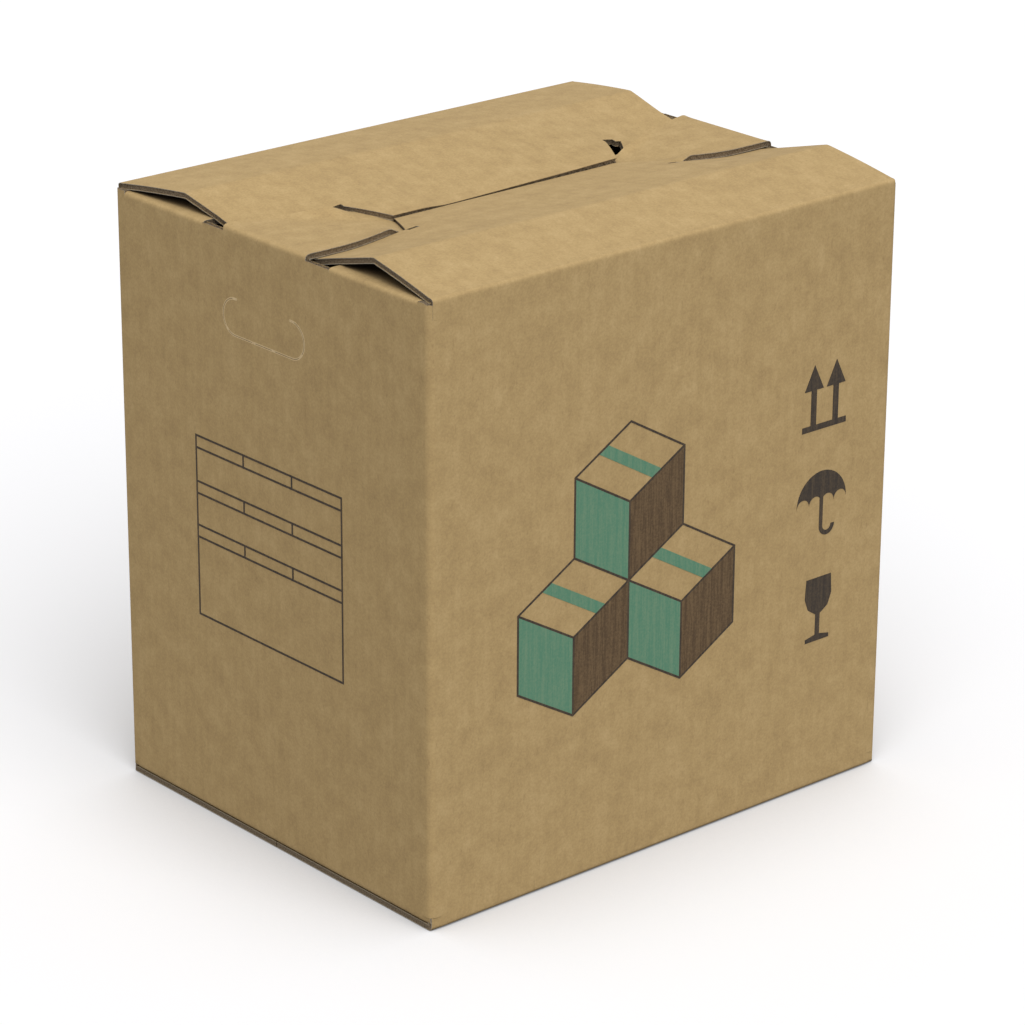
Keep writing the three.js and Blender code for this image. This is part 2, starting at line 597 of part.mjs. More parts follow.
function glass() {
  const s = MARK.size;
  const half = [[0, 0], [0.24, 0], [0.24, 0.06], [0.045, 0.1], [0.045, 0.42]];
  half.push([0.2, 0.52], [0.27, 0.7], [0.25, 1], [0, 1]);
  const right = half.map(([x, y]) => new THREE.Vector2((0.5 + x) * s, y * s));
  const left = half.slice(1, -1).map(([x, y]) => new THREE.Vector2((0.5 - x) * s, y * s));
  return joinedInk([inkLayer(new THREE.Shape([...right, ...left.reverse()]))]);
}

const board = new THREE.MeshStandardMaterial({ color: KRAFT, roughness: 0.9, metalness: 0 });
const ink = (color) => new THREE.MeshStandardMaterial({ color, roughness: 0.8, metalness: 0 });
const green = ink(GREEN_INK);
const brown = ink(BROWN_INK);
const dark = ink(DARK_INK);

function named(name, geometry, material) {
  const mesh = new THREE.Mesh(geometry, material);
  mesh.name = name;
  return mesh;
}

// A group whose x runs to the right and whose y runs up on the outside of a wall
function wallGroup(right, outward, distance) {
  const group = new THREE.Group();
  group.setRotationFromMatrix(new THREE.Matrix4().makeBasis(right, new THREE.Vector3(0, 0, 1), outward));
  group.position.copy(outward).multiplyScalar(distance);
  return group;
}

const frontPrint = wallGroup(new THREE.Vector3(1, 0, 0), new THREE.Vector3(0, -1, 0), HALF_WIDTH);
frontPrint.add(named("stack_outline_print", stackOutline(), dark));
cubeCentres().forEach((centre, k) => {
  const tape = [(1 - TAPE_SHARE) / 2, (1 + TAPE_SHARE) / 2];
  frontPrint.add(
    named(`green_side_print_${k + 1}`, inkLayer(faceField(centre, "left")), green),
    named(`brown_side_print_${k + 1}`, inkLayer(faceField(centre, "right")), brown),
    named(`tape_print_${k + 1}`, inkLayer(faceField(centre, "top", ...tape)), green),
  );
});
[glass, umbrella, upArrows].forEach((mark, k) => {
  const mesh = named(["glass_print", "umbrella_print", "up_arrows_print"][k], mark(), dark);
  mesh.position.set(HALF_LENGTH - MARK.inset - MARK.size / 2, MARK.bottom + k * MARK.pitch, 0);
  frontPrint.add(mesh);
});

const sidePrint = wallGroup(new THREE.Vector3(0, -1, 0), new THREE.Vector3(-1, 0, 0), HALF_LENGTH);
const form = named("form_print", formPrint(), dark);
form.position.x = -FORM.offset;
sidePrint.add(form);

const movingBox = new THREE.Group();
movingBox.add(named("carton", carton(), board), frontPrint, sidePrint);

export default movingBox;
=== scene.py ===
"""Looks of a closed, self-locking moving carton of corrugated board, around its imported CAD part.

The carton is one folded and glued sheet. Its walls, flaps and tongues are separate meshes here, which all
ride on its one body. Each board is two paper liners with a fluted medium between them, as the cut edges
show. Lengths are millimetres until a mesh is made, and metres after that.
Frame: X runs along the long walls, the printed long wall faces -Y, and Z is up.
"""

import json
import logging
import math
from dataclasses import dataclass, replace
from enum import Enum

import bpy
import numpy as np
from mathutils import Matrix

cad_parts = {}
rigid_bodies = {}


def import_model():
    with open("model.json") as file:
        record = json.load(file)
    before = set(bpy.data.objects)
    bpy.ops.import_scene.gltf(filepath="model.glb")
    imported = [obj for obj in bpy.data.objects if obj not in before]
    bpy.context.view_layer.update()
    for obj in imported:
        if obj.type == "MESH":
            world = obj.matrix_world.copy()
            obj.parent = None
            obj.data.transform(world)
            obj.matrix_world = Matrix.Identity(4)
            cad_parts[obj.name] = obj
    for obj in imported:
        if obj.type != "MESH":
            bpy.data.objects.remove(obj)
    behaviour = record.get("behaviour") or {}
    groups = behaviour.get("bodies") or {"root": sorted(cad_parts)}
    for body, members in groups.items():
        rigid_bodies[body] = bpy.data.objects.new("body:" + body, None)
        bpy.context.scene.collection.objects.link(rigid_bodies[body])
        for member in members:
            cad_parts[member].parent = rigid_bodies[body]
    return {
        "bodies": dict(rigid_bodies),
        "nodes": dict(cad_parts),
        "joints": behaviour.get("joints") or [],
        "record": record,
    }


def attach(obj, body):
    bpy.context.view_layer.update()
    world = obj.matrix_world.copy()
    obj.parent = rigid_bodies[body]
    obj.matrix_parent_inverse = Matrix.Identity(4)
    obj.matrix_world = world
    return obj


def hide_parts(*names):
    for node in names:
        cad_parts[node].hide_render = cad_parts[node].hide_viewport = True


LOG = logging.getLogger("moving_carton")
MM = 0.001
CARTON_NODE = "carton"

HALF_LENGTH = 200.0
HALF_WIDTH = 160.0
CREASE = 418.5
LONG_CREASE_RISE = 1.0
BOARD = 4.0
FOLD_RADIUS = 4.5
CORNER_RADIUS = 5.0
PLY_GAP = 0.4
WALL_TOP = CREASE - FOLD_RADIUS - 2 * BOARD
INNER_FLOOR = BOARD + PLY_GAP
WALL_BOTTOM = INNER_FLOOR + FOLD_RADIUS
SEAM = HALF_WIDTH - 0.4
LINER_SHARE = 0.12
FLUTE_PITCH = 7.9
SCORE_POWER = 3.6
FOLD_STEPS = 9
SHARP_DEGREES = 38
FLAP_RECESS = 0.8

FLUTE_TURN = 2 * math.pi / (FLUTE_PITCH * MM)
MATHS = "ShaderNodeMath"
MIX = "ShaderNodeMix"
MIX_UNDER = 6
MIX_OVER = 7
MIX_OUT = 2


class Finish(Enum):
    """The finishes of a board, in the order of a board mesh's material slots."""

    LINER = 0
    CUT_LINER = 1
    TORN_LINER = 2
    MEDIUM = 3


class End(Enum):
    """The two short walls."""

    NEAR = -1
    FAR = 1


def linear(hex_colour: str) -> tuple[float, float, float, float]:
    """Turns an sRGB colour into Blender's linear one.

    Args:
        hex_colour: Six hex digits.

    Returns:
        Red, green, blue and alpha.
    """
    parts = np.array([int(hex_colour[k : k + 2], 16) for k in (0, 2, 4)]) / 255
    low = parts / 12.92
    high = ((parts + 0.055) / 1.055) ** 2.4
    return (*np.where(parts <= 0.04045, low, high).tolist(), 1.0)


def mix(a: np.ndarray, b: np.ndarray, share: np.ndarray) -> np.ndarray:
    """A straight blend from a to b."""
    return a + (b - a) * share


def smoothstep(x: np.ndarray, low: float, high: float) -> np.ndarray:
    """A smooth rise from 0 at low to 1 at high."""
    t = np.clip((x - low) / (high - low), 0, 1)
    return t * t * (3 - 2 * t)


def creased(angles: np.ndarray) -> np.ndarray:
    """A fold's outer face, squarer than an arc because the board is scored: a superellipse.

    Args:
        angles: Directions from the fold's centre.

    Returns:
        Points around the centre.
    """
    directions = np.stack([np.cos(angles), np.sin(angles)], -1)
    size = (np.abs(directions) ** SCORE_POWER).sum(-1, keepdims=True) ** (1 / SCORE_POWER)
    return FOLD_RADIUS * directions / size


def rounded_in(points: np.ndarray) -> np.ndarray:
    """Keeps points inside the plan's outline, whose corners are rounded.

    Args:
        points: Grid of points.

    Returns:
        The grid, with points past a corner's arc moved onto it.
    """
    centre = np.array([HALF_LENGTH, HALF_WIDTH]) - CORNER_RADIUS
    beyond = np.maximum(np.abs(points[..., :2]) - centre, 0)
    far = np.linalg.norm(beyond, axis=-1, keepdims=True)
    is_corner = (beyond > 0).all(-1, keepdims=True)
    scale = np.where(is_corner, np.minimum(1, CORNER_RADIUS / np.maximum(far, 1e-6)), 1)
    moved = np.sign(points[..., :2]) * (centre + beyond * scale)
    plan = np.where(is_corner, moved, points[..., :2])
    return np.concatenate([plan, points[..., 2:]], -1)


def spaced(stations: list[float], counts: tuple[int, ...]) -> np.ndarray:
    """Points between stations, with an even number of steps from each station to the next.

    Args:
        stations: The values that must be hit.
        counts: The steps between each pair of them.

    Returns:
        All values, in order.
    """
    runs = [np.linspace(a, b, n, endpoint=False) for a, b, n in zip(stations, stations[1:], counts)]
    return np.concatenate([*runs, [stations[-1]]])


@dataclass
class Shell:
    """Quads of one closed shell, with a finish for each quad."""

    points: np.ndarray
    quads: np.ndarray
    finish: np.ndarray
    across: np.ndarray

    def turned_out(self) -> "Shell":
        """Turns all faces round where the shell's signed volume is negative.

        Returns:
            The shell, with its faces outwards.
        """
        a, b, c, d = (self.points[self.quads[:, k]] for k in range(4))
        volume = (a * np.cross(b, c)).sum() + (a * np.cross(c, d)).sum()
        if volume < 0:
            self.quads = self.quads[:, ::-1]
        return self


def layer(top: np.ndarray, bottom: np.ndarray, kept: np.ndarray, across: np.ndarray, faces: Finish) -> Shell:
    """A closed slab between two grids. Edges in the rows' direction look cut, and ends look torn.

    Args:
        top: Grid of points, rows by columns by 3.
        bottom: The grid on the other side.
        kept: Which cells the slab has.
        across: For each grid point, its distance across the flutes.
        faces: Finish of the two broad sides.

    Returns:
        The slab.
    """
    rows, columns = kept.shape
    upper = np.arange((rows + 1) * (columns + 1)).reshape(rows + 1, columns + 1)
    lower = upper + upper.size
    a, b, c, d = upper[:-1, :-1], upper[1:, :-1], upper[1:, 1:], upper[:-1, 1:]
    e, f, g, h = lower[:-1, :-1], lower[1:, :-1], lower[1:, 1:], lower[:-1, 1:]
    around = np.pad(kept, 1)
    is_medium = faces is Finish.MEDIUM
    cut = Finish.MEDIUM if is_medium else Finish.CUT_LINER
    torn = Finish.MEDIUM if is_medium else Finish.TORN_LINER
    sides = [
        ((a, b, c, d), kept, faces),
        ((e, h, g, f), kept, faces),
        ((a, d, h, e), kept & ~around[:-2, 1:-1], cut),
        ((c, b, f, g), kept & ~around[2:, 1:-1], cut),
        ((b, a, e, f), kept & ~around[1:-1, :-2], torn),
        ((d, c, g, h), kept & ~around[1:-1, 2:], torn),
    ]
    quads = [np.stack(corners, -1)[mask] for corners, mask, _ in sides]
    finish = [np.full(len(q), kind.value) for q, (_, _, kind) in zip(quads, sides)]
    points = np.concatenate([top.reshape(-1, 3), bottom.reshape(-1, 3)])
    flutes = np.concatenate([across.ravel(), across.ravel()])
    return Shell(points, np.concatenate(quads), np.concatenate(finish), flutes).turned_out()


def drawn_in(grid: np.ndarray, kept: np.ndarray, amount: np.ndarray) -> np.ndarray:
    """Moves the points on the kept cells' border inwards, towards the middle of their cells.

    Args:
        grid: Grid of points.
        kept: Which cells are kept.
        amount: How far each point moves.

    Returns:
        The grid with its border drawn in.
    """
    centres = (grid[:-1, :-1] + grid[1:, :-1] + grid[1:, 1:] + grid[:-1, 1:]) / 4
    total = np.zeros_like(grid)
    count = np.zeros(grid.shape[:2])
    for rows in (slice(0, -1), slice(1, None)):
        for columns in (slice(0, -1), slice(1, None)):
            total[rows, columns] += centres * kept[..., None]
            count[rows, columns] += kept
    inward = total / np.maximum(count, 1)[..., None] - grid
    inward /= np.maximum(np.linalg.norm(inward, axis=-1, keepdims=True), 1e-6)
    border = (count > 0) & (count < 4)
    return grid + inward * (border * amount)[..., None]


@dataclass
class Board:
    """A bent corrugated board between the grids of its outer and inner faces."""

    outer: np.ndarray
    inner: np.ndarray
    across: np.ndarray
    kept: np.ndarray | None = None
    recess: float = 1.3
    ragged: float = 0.35
    seed: int = 1

    def shells(self) -> list[Shell]:
        """The two liners with slightly ragged borders, and the medium set back between them.

        Returns:
            Three shells.
        """
        kept = np.ones(np.array(self.outer.shape[:2]) - 1, bool) if self.kept is None else self.kept
        chance = np.random.default_rng(self.seed)
        depth = [0, LINER_SHARE, 1 - LINER_SHARE, 1]
        grids = [mix(self.outer, self.inner, share) for share in depth]
        for k in (0, 2):
            wear = chance.uniform(0, self.ragged, kept.shape + np.array([1, 1])) if k else 0 * self.across
            grids[k] = drawn_in(grids[k], kept, wear)
            grids[k + 1] = drawn_in(grids[k + 1], kept, wear)
        top = drawn_in(mix(self.outer, self.inner, depth[1]), kept, self.recess + 0 * self.across)
        bottom = drawn_in(mix(self.outer, self.inner, depth[2]), kept, self.recess + 0 * self.across)
        return [
            layer(grids[0], grids[1], kept, self.across, Finish.LINER),
            layer(top, bottom, kept, self.across, Finish.MEDIUM),
            layer(grids[2], grids[3], kept, self.across, Finish.LINER),
        ]


def flute_ribbon(outer: np.ndarray, inner: np.ndarray, inward: np.ndarray, depth: float = 2.2) -> Shell:
    """The medium's wave where a board is cut across its flutes: a sine between the two liners.

    Args:
        outer: Points along the cut on the outer face.
        inner: Points along the cut on the inner face.
        inward: Unit vector into the board.
        depth: How far in the ribbon goes.

    Returns:
        A thin wavy sheet.
    """
    steps = np.r_[0, np.cumsum(np.linalg.norm(np.diff(outer, axis=0), axis=1))]
    steps_in_flute, swing, half_thickness, set_in = 12, 0.34, 0.035, 0.15
    fine = np.linspace(0, steps[-1], max(8, int(steps[-1] / FLUTE_PITCH * steps_in_flute)))
    low, high = (np.stack([np.interp(fine, steps, p[:, k]) for k in range(3)], 1) for p in (outer, inner))
    share = 0.5 + swing * np.sin(2 * np.pi * fine / FLUTE_PITCH)
    rows = []
    for offset in (-half_thickness, half_thickness):
        edge = mix(low, high, (share + offset)[:, None]) + set_in * inward
        rows.append(np.stack([edge, edge + depth * inward]))
    kept = np.ones((1, len(fine) - 1), bool)
    across = np.zeros((2, len(fine)))
    return layer(rows[0], rows[1], kept, across, Finish.MEDIUM)


def make_piece(name: str, shells: list[Shell], materials: list[bpy.types.Material]) -> bpy.types.Object:
    """Puts shells into one mesh object, in metres, with a UV map that runs across the flutes.

    Args:
        name: Name of the object.
        shells: Its shells, in millimetres.
        materials: One material for each finish.

    Returns:
        The new object, linked to the scene.
    """
    counts = np.cumsum([0] + [len(shell.points) for shell in shells])
    points = np.concatenate([shell.points for shell in shells]) * MM
    quads = np.concatenate([shell.quads + first for shell, first in zip(shells, counts)])
    mesh = bpy.data.meshes.new(name)
    mesh.from_pydata(points.tolist(), [], quads.tolist())
    mesh.polygons.foreach_set("material_index", np.concatenate([shell.finish for shell in shells]))
    across = np.concatenate([shell.across for shell in shells]) * MM
    loops = np.empty(len(mesh.loops), np.int32)
    mesh.loops.foreach_get("vertex_index", loops)
    uv = np.stack([across[loops], points[loops, 2]], 1)
    mesh.uv_layers.new(name="flutes").data.foreach_set("uv", uv.ravel())
    mesh.shade_smooth()
    mesh.set_sharp_from_angle(angle=math.radians(SHARP_DEGREES))
    for material in materials:
        mesh.materials.append(material)
    piece = bpy.data.objects.new(name, mesh)
    bpy.context.scene.collection.objects.link(piece)
    return piece


@dataclass
class Recipe:
    """A tree of shader nodes, built one node at a time."""

    tree: bpy.types.NodeTree

    def add(
        self, kind: str, settings: dict | None = None, links: dict | None = None, output: int | str = 0
    ) -> bpy.types.NodeSocket | None:
        """Adds a node, and gives one of its outputs.

        Args:
            kind: Blender's name of the node's type.
            settings: Values for its properties or, where there is none of that name, its inputs. The stops
                of a ramp are positions with sRGB colours.
            links: An output socket for each input to link.
            output: Which of its outputs is wanted.

        Returns:
            That output, or None where the node has none.
        """
        node = self.tree.nodes.new(kind)
        for key, value in (settings or {}).items():
            if key == "stops":
                elements = node.color_ramp.elements
                while len(elements) < len(value):
                    elements.new(0.5)
                for element, (position, colour) in zip(elements, value):
                    element.position = position
                    element.color = linear(colour)
            elif isinstance(key, str) and hasattr(node, key):
                setattr(node, key, value)
            else:
                node.inputs[key].default_value = value
        for key, socket in (links or {}).items():
            self.tree.links.new(socket, node.inputs[key])
        return node.outputs[output] if node.outputs else None

    def cloudy(self, size_mm: float, detail: float, stretch: tuple = (1, 1, 1)) -> bpy.types.NodeSocket:
        """A cloudy pattern in the object's own space.

        Args:
            size_mm: Size of its largest patches.
            detail: Octaves of finer detail.
            stretch: How much shorter the patches are along each axis.

        Returns:
            A value from 0 to 1.
        """
        where = self.add("ShaderNodeTexCoord", output="Object")
        scaled = self.add("ShaderNodeMapping", {"Scale": stretch}, {"Vector": where})
        settings = {"Scale": 1 / (size_mm * MM), "Detail": detail, "Roughness": 0.6}
        return self.add("ShaderNodeTexNoise", settings, {"Vector": scaled}, "Fac")

    def hollow(self, reach: float) -> bpy.types.NodeSocket:
        """How deep in a hollow a point lies, as seen within reach: 0 in the open, near 1 under a flap."""
        open_sky = self.add("ShaderNodeAmbientOcclusion", {"Distance": reach}, output="AO")
        return self.add(MATHS, {"operation": "SUBTRACT", 0: 1.0}, {1: open_sky})

    def seen_ray(self) -> bpy.types.NodeSocket:
        """One where a ray comes from the camera, a reflection or a clear surface, else zero.

        Returns:
            The value's socket.
        """
        seen = self.add("ShaderNodeLightPath", output="Is Camera Ray")
        for name in ("Is Glossy Ray", "Is Transmission Ray"):
            other = self.add("ShaderNodeLightPath", output=name)
            seen = self.add(MATHS, {"operation": "MAXIMUM"}, {0: seen, 1: other})
        return seen

    def paper(
        self, colour: bpy.types.NodeSocket, height: bpy.types.NodeSocket, depth_mm: float, roughness: float
    ) -> None:
        """Ends the tree in a matt paper surface with a bump.

        Args:
            colour: The base colour.
            height: The bump's height, from 0 to 1.
            depth_mm: What a height of 1 is.
            roughness: The surface's roughness.
        """
        bump = self.add("ShaderNodeBump", {"Strength": 1.0, "Distance": depth_mm * MM}, {"Height": height})
        settings = {"Roughness": roughness, "IOR": 1.5, "Specular IOR Level": 0.3}
        surface = self.add("ShaderNodeBsdfPrincipled", settings, {"Base Color": colour, "Normal": bump})
        self.add("ShaderNodeOutputMaterial", links={"Surface": surface})


def new_material(name: str) -> tuple[bpy.types.Material, Recipe]:
    """An empty material of that name, and the recipe that fills it."""
    material = bpy.data.materials.new(name)
    material.use_nodes = True
    material.node_tree.nodes.clear()
    return material, Recipe(material.node_tree)


@dataclass(frozen=True)
class KraftLiner:
    """Uncoated kraft liner, machine made: matt brown paper with a cloudy formation and short fibres.

    It shows blotches about 9 mm across, fibres about 1 mm long, and faintly the flutes under it, because the
    liner sinks a little between their tips (washboard): a bump, with a faint painted shade along the flutes
    in its colour. Deep under a flap, painted shade from an ambient-occlusion test darkens its colour.
    """

    name: str = "uncoated_kraft_liner"
    dark: str = "A4895F"
    middle: str = "B99D6D"
    light: str = "CBAF7F"
    fibre: str = "8A6F4A"
    # deep is the colour of the painted shade that darkens the liner in hollows under the flaps.
    deep: str = "2A1F14"
    cloud_mm: float = 14.0
    cloud_share: float = 0.55
    grain_mm: float = 1.5
    fibre_mm: float = 2.2
    fibre_least: float = 0.68
    fibre_share: float = 0.2
    # Share of the tone given to painted shade along the flutes, the washboard's shading.
    painted_washboard_shade: float = 0.03
    flute_height: float = 0.75
    # How far the ambient-occlusion test looks, for the painted shade in hollows.
    painted_shade_reach: float = 0.03

    def make(self) -> bpy.types.Material:
        """Builds the material.

        Returns:
            The material.
        """
        material, recipe = new_material(self.name)
        cloud = recipe.cloudy(self.cloud_mm, 5)
        grain = recipe.cloudy(self.grain_mm, 2)
        uv = recipe.add("ShaderNodeUVMap", {"uv_map": "flutes"})
        across = recipe.add("ShaderNodeSeparateXYZ", links={0: uv})
        waves = recipe.add(MATHS, {"operation": "MULTIPLY", 1: FLUTE_TURN}, {0: across})
        sine = recipe.add(MATHS, {"operation": "SINE"}, {0: waves})
        washboard = recipe.add(MATHS, {"operation": "MULTIPLY_ADD", 1: 0.5, 2: 0.5}, {0: sine})
        clouds = recipe.add(MATHS, {"operation": "MULTIPLY", 1: self.cloud_share}, {0: cloud})
        blended = {"operation": "MULTIPLY_ADD", 1: 1 - self.cloud_share}
        tone = recipe.add(MATHS, blended, {0: grain, 2: clouds})
        # Painted shade along the flutes: the washboard's shading is painted faintly into the tone, beside
        # its bump below.
        centred = recipe.add(MATHS, {"operation": "SUBTRACT", 1: self.painted_washboard_shade / 2}, {0: tone})
        fluted = {"operation": "MULTIPLY_ADD", 1: self.painted_washboard_shade}
        tone = recipe.add(MATHS, fluted, {0: washboard, 2: centred})
        stops = [(0.22, self.dark), (0.5, self.middle), (0.78, self.light)]
        colour = recipe.add("ShaderNodeValToRGB", {"stops": stops}, {0: tone})
        streak = recipe.cloudy(self.fibre_mm, 2, (1.0, 1.0, 0.3))
        is_fibre = recipe.add(MATHS, {"operation": "GREATER_THAN", 1: self.fibre_least}, {0: streak})
        fibres = recipe.add(MATHS, {"operation": "MULTIPLY", 1: self.fibre_share}, {0: is_fibre})
        over = {"data_type": "RGBA", MIX_OVER: linear(self.fibre)}
        colour = recipe.add(MIX, over, {0: fibres, MIX_UNDER: colour}, MIX_OUT)
        # Painted shade: where the ambient-occlusion test finds a hollow, the colour is mixed towards the
        # deep colour, darker than the lamps alone make it.
        half_closed = {"operation": "MULTIPLY_ADD", 1: 2.0, 2: -1.0}
        depth = recipe.add(MATHS, half_closed, {0: recipe.hollow(self.painted_shade_reach)})
        depth = recipe.add(MATHS, {"operation": "MAXIMUM", 1: 0.0}, {0: depth})
        over = {"data_type": "RGBA", MIX_OVER: linear(self.deep)}
        colour = recipe.add(MIX, over, {0: depth, MIX_UNDER: colour}, MIX_OUT)
        fine = recipe.add(MATHS, {"operation": "MULTIPLY", 1: 1 - self.flute_height}, {0: grain})
        raised = {"operation": "MULTIPLY_ADD", 1: self.flute_height}
        height = recipe.add(MATHS, raised, {0: washboard, 2: fine})
        recipe.paper(colour, height, 0.05, 0.86)
        return material


@dataclass(frozen=True)
class RawPaper:
    """The cut or torn edge of board: rough open fibres that look darker or greyer than the liner's face."""

    name: str
    dark: str
    light: str
    grain_mm: float = 0.9

    def make(self) -> bpy.types.Material:
        """Builds the material.

        Returns:
            The material.
        """
        material, recipe = new_material(self.name)
        grain = recipe.cloudy(self.grain_mm, 3)
        stops = [(0.35, self.dark), (0.65, self.light)]
        colour = recipe.add("ShaderNodeValToRGB", {"stops": stops}, {0: grain})
        recipe.paper(colour, grain, 0.25, 0.95)
        return material


@dataclass(frozen=True)
class FlexoInk:
    """Matt water-based ink, flexo printed straight on the liner: thin, so the kraft shows through a little.

    The plate presses hard on the flute tips and lightly between them, which leaves fine streaks along the
    flutes. The kraft's grain shows in it too.
    """

    name: str
    full: str
    thin: str
    wave_share: float = 0.035
    streak_share: float = 0.55
    grain_share: float = 0.45

    def make(self) -> bpy.types.Material:
        """Builds the material.

        Returns:
            The material.
        """
        material, recipe = new_material(self.name)
        where = recipe.add("ShaderNodeTexCoord", output="Object")
        level = {"operation": "DOT_PRODUCT", 1: (1.0, 1.0, 0.0)}
        along = recipe.add("ShaderNodeVectorMath", level, {0: where}, "Value")
        turns = recipe.add(MATHS, {"operation": "MULTIPLY", 1: FLUTE_TURN}, {0: along})
        waves = recipe.add(MATHS, {"operation": "SINE"}, {0: turns})
        streak = recipe.cloudy(1.8, 2, (1.0, 1.0, 0.06))
        grain = recipe.cloudy(1.4, 3)
        streaks = recipe.add(MATHS, {"operation": "MULTIPLY", 1: self.streak_share}, {0: streak})
        share = recipe.add(MATHS, {"operation": "MULTIPLY_ADD", 1: self.wave_share}, {0: waves, 2: streaks})
        share = recipe.add(MATHS, {"operation": "MULTIPLY_ADD", 1: self.grain_share}, {0: grain, 2: share})
        stops = [(0.4, self.full), (0.74, self.thin)]
        colour = recipe.add("ShaderNodeValToRGB", {"stops": stops}, {0: share})
        recipe.paper(colour, grain, 0.05, 0.8)
        return material


@dataclass(frozen=True)
class LongFlap:
    """A long top flap: up from its wall to a pressed ridge, then down to the seam in the middle.

    e is the distance from the nearer short wall and d the distance from the flap's own wall. Each end has a
    corner tab under the tongue, with a lock slot between the tab and the main panel.
    """

    name: str
    side: int
    ridge_reach: float
    ridge_rise: float
    seam_sink: float
    slit_depth: float
    seam_x: tuple[float, ...]
    seam_lift: tuple[float, ...]
    hook_steps: tuple[int, int]
    hook_depth: float = 3.6
    lowest_seam: float = CREASE - 6.0
    end_setback: float = 3.0
    tab_setback: float = 8.8
    tab_setback_reach: float = 98.0
    twist_start: float = 30.0
    twist_length: float = 80.0
    relief: float = 14.0
    ridge_softness: float = 0.2
    tab_stations: tuple[float, float] = (18.0, 38.0)
    slit_margin: float = 13.0
    panel_station: float = 135.0
    bow: float = 0.5
    wave: float = 0.3
    wave_length: float = 47.0
    wave_fade: float = 60.0
    ridge_margin: float = 4.0
    seam_margin: float = 3.0
    row_counts: tuple[int, ...] = (12, 8, 10, 3, 1, 8, 1)
    column_counts: tuple[int, ...] = (3, 5, 6, 4, 3, 3, 6, 16)
    tab_edge: int = 4
    panel_edge: int = 5
    lock_reach: float = 104.0
    lock_rake: float = 0.56

    @property
    def ridge(self) -> float:
        """Height of the ridge."""
        return CREASE + self.ridge_rise

    @property
    def slit_end(self) -> float:
        """Distance from the wall at which the lock slits end."""
        return HALF_WIDTH - self.slit_depth

    @property
    def tab_seam(self) -> float:
        """Height of a corner tab's free edge, two plies under the seam."""
        return self.lowest_seam - 2 * (BOARD + PLY_GAP)

    def lock(self, from_seam: np.ndarray) -> np.ndarray:
        """Distance from the short wall to the slit, which is raked back away from the seam."""
        return self.lock_reach - self.lock_rake * np.abs(from_seam)

    def height(
        self, e: np.ndarray, d: np.ndarray, is_tab: np.ndarray, x: np.ndarray | None = None
    ) -> np.ndarray:
        """Height of the outer face past the ridge: straight falls, twisted from the tab to the main panel.

        Args:
            e: Distances from the short wall.
            d: Distances from the flap's wall.
            is_tab: True where the point is on a corner tab.
            x: Place along the box, for the small lifts of the seam.

        Returns:
            The heights.
        """
        seam = CREASE - self.seam_sink
        if x is not None:
            seam = seam + np.interp(x, self.seam_x, self.seam_lift)
        fall_tab = (self.ridge - self.tab_seam) / (HALF_WIDTH - self.ridge_reach)
        fall_seam = (self.ridge - seam) / (HALF_WIDTH - self.ridge_reach)
        twist = smoothstep(e, self.twist_start, self.twist_start + self.twist_length)
        slope = mix(fall_tab, fall_seam, twist)
        outer = self.ridge - slope * (np.minimum(d, self.slit_end) - self.ridge_reach)
        target = np.where(is_tab, self.tab_seam, seam)
        share = np.clip((d - self.slit_end) / self.slit_depth, 0, 1)
        return mix(outer, target, share)

    def board(self) -> tuple[Board, list[Shell]]:
        """Builds the flap's grid. Rows follow its section, and columns its length.

        The section is an arc at the fold, a straight rise, a ridge rounded by a soft minimum of the two
        panels' heights, and a fall to the seam.

        Returns:
            The board, and the fluted ribbon along its seam.
        """
        crown = CREASE + LONG_CREASE_RISE
        to_ridge = np.array([self.ridge_reach - FOLD_RADIUS, self.ridge - crown + FOLD_RADIUS])
        rise = math.atan2(to_ridge[1], to_ridge[0]) - math.asin(FOLD_RADIUS / np.linalg.norm(to_ridge))
        turn = math.pi / 2 - rise
        angles = math.pi - np.linspace(0, turn, 10)
        arc = creased(angles)
        arc_d = FOLD_RADIUS + arc[:, 0]
        arc_z = crown - FOLD_RADIUS + arc[:, 1]
        end = self.slit_end
        to_slit = [end - self.slit_margin, end - self.hook_depth, end]
        beside_ridge = [self.ridge_reach - self.ridge_margin, self.ridge_reach + self.ridge_margin]
        stations = [arc_d[-1], *beside_ridge, *to_slit, SEAM - self.seam_margin, SEAM]
        panel_d = spaced(stations, self.row_counts)[1:]
        d_rows = np.r_[0, arc_d, panel_d]
        first_panel_row = len(arc_d) + 1

        before_lock = [-self.relief - self.slit_margin, -self.relief, 0, self.slit_margin]
        base = [0, *self.tab_stations, *before_lock, self.panel_station, HALF_LENGTH]
        last = len(self.column_counts)
        index = spaced(list(range(last + 1)), self.column_counts)
        lock = self.lock(HALF_WIDTH - np.maximum(d_rows, end))
        setback = mix(self.end_setback, self.tab_setback, np.minimum(1, d_rows / self.tab_setback_reach))
        station = np.tile(np.array(base, float), (len(d_rows), 1))
        station[:, 0] = setback
        station[:, 3:7] += lock[:, None]
        left = np.minimum(np.floor(index).astype(int), last - 1)
        half = mix(station[:, left], station[:, left + 1], (index - left)[None, :])
        e = np.concatenate([half, half[:, -2::-1]], axis=1)
        near_index = np.concatenate([index, index[-2::-1]])
        sign = np.r_[-np.ones(len(index)), np.ones(len(index) - 1)]
        x = sign * (HALF_LENGTH - e)
        is_tab = np.broadcast_to(near_index <= self.tab_edge, e.shape)

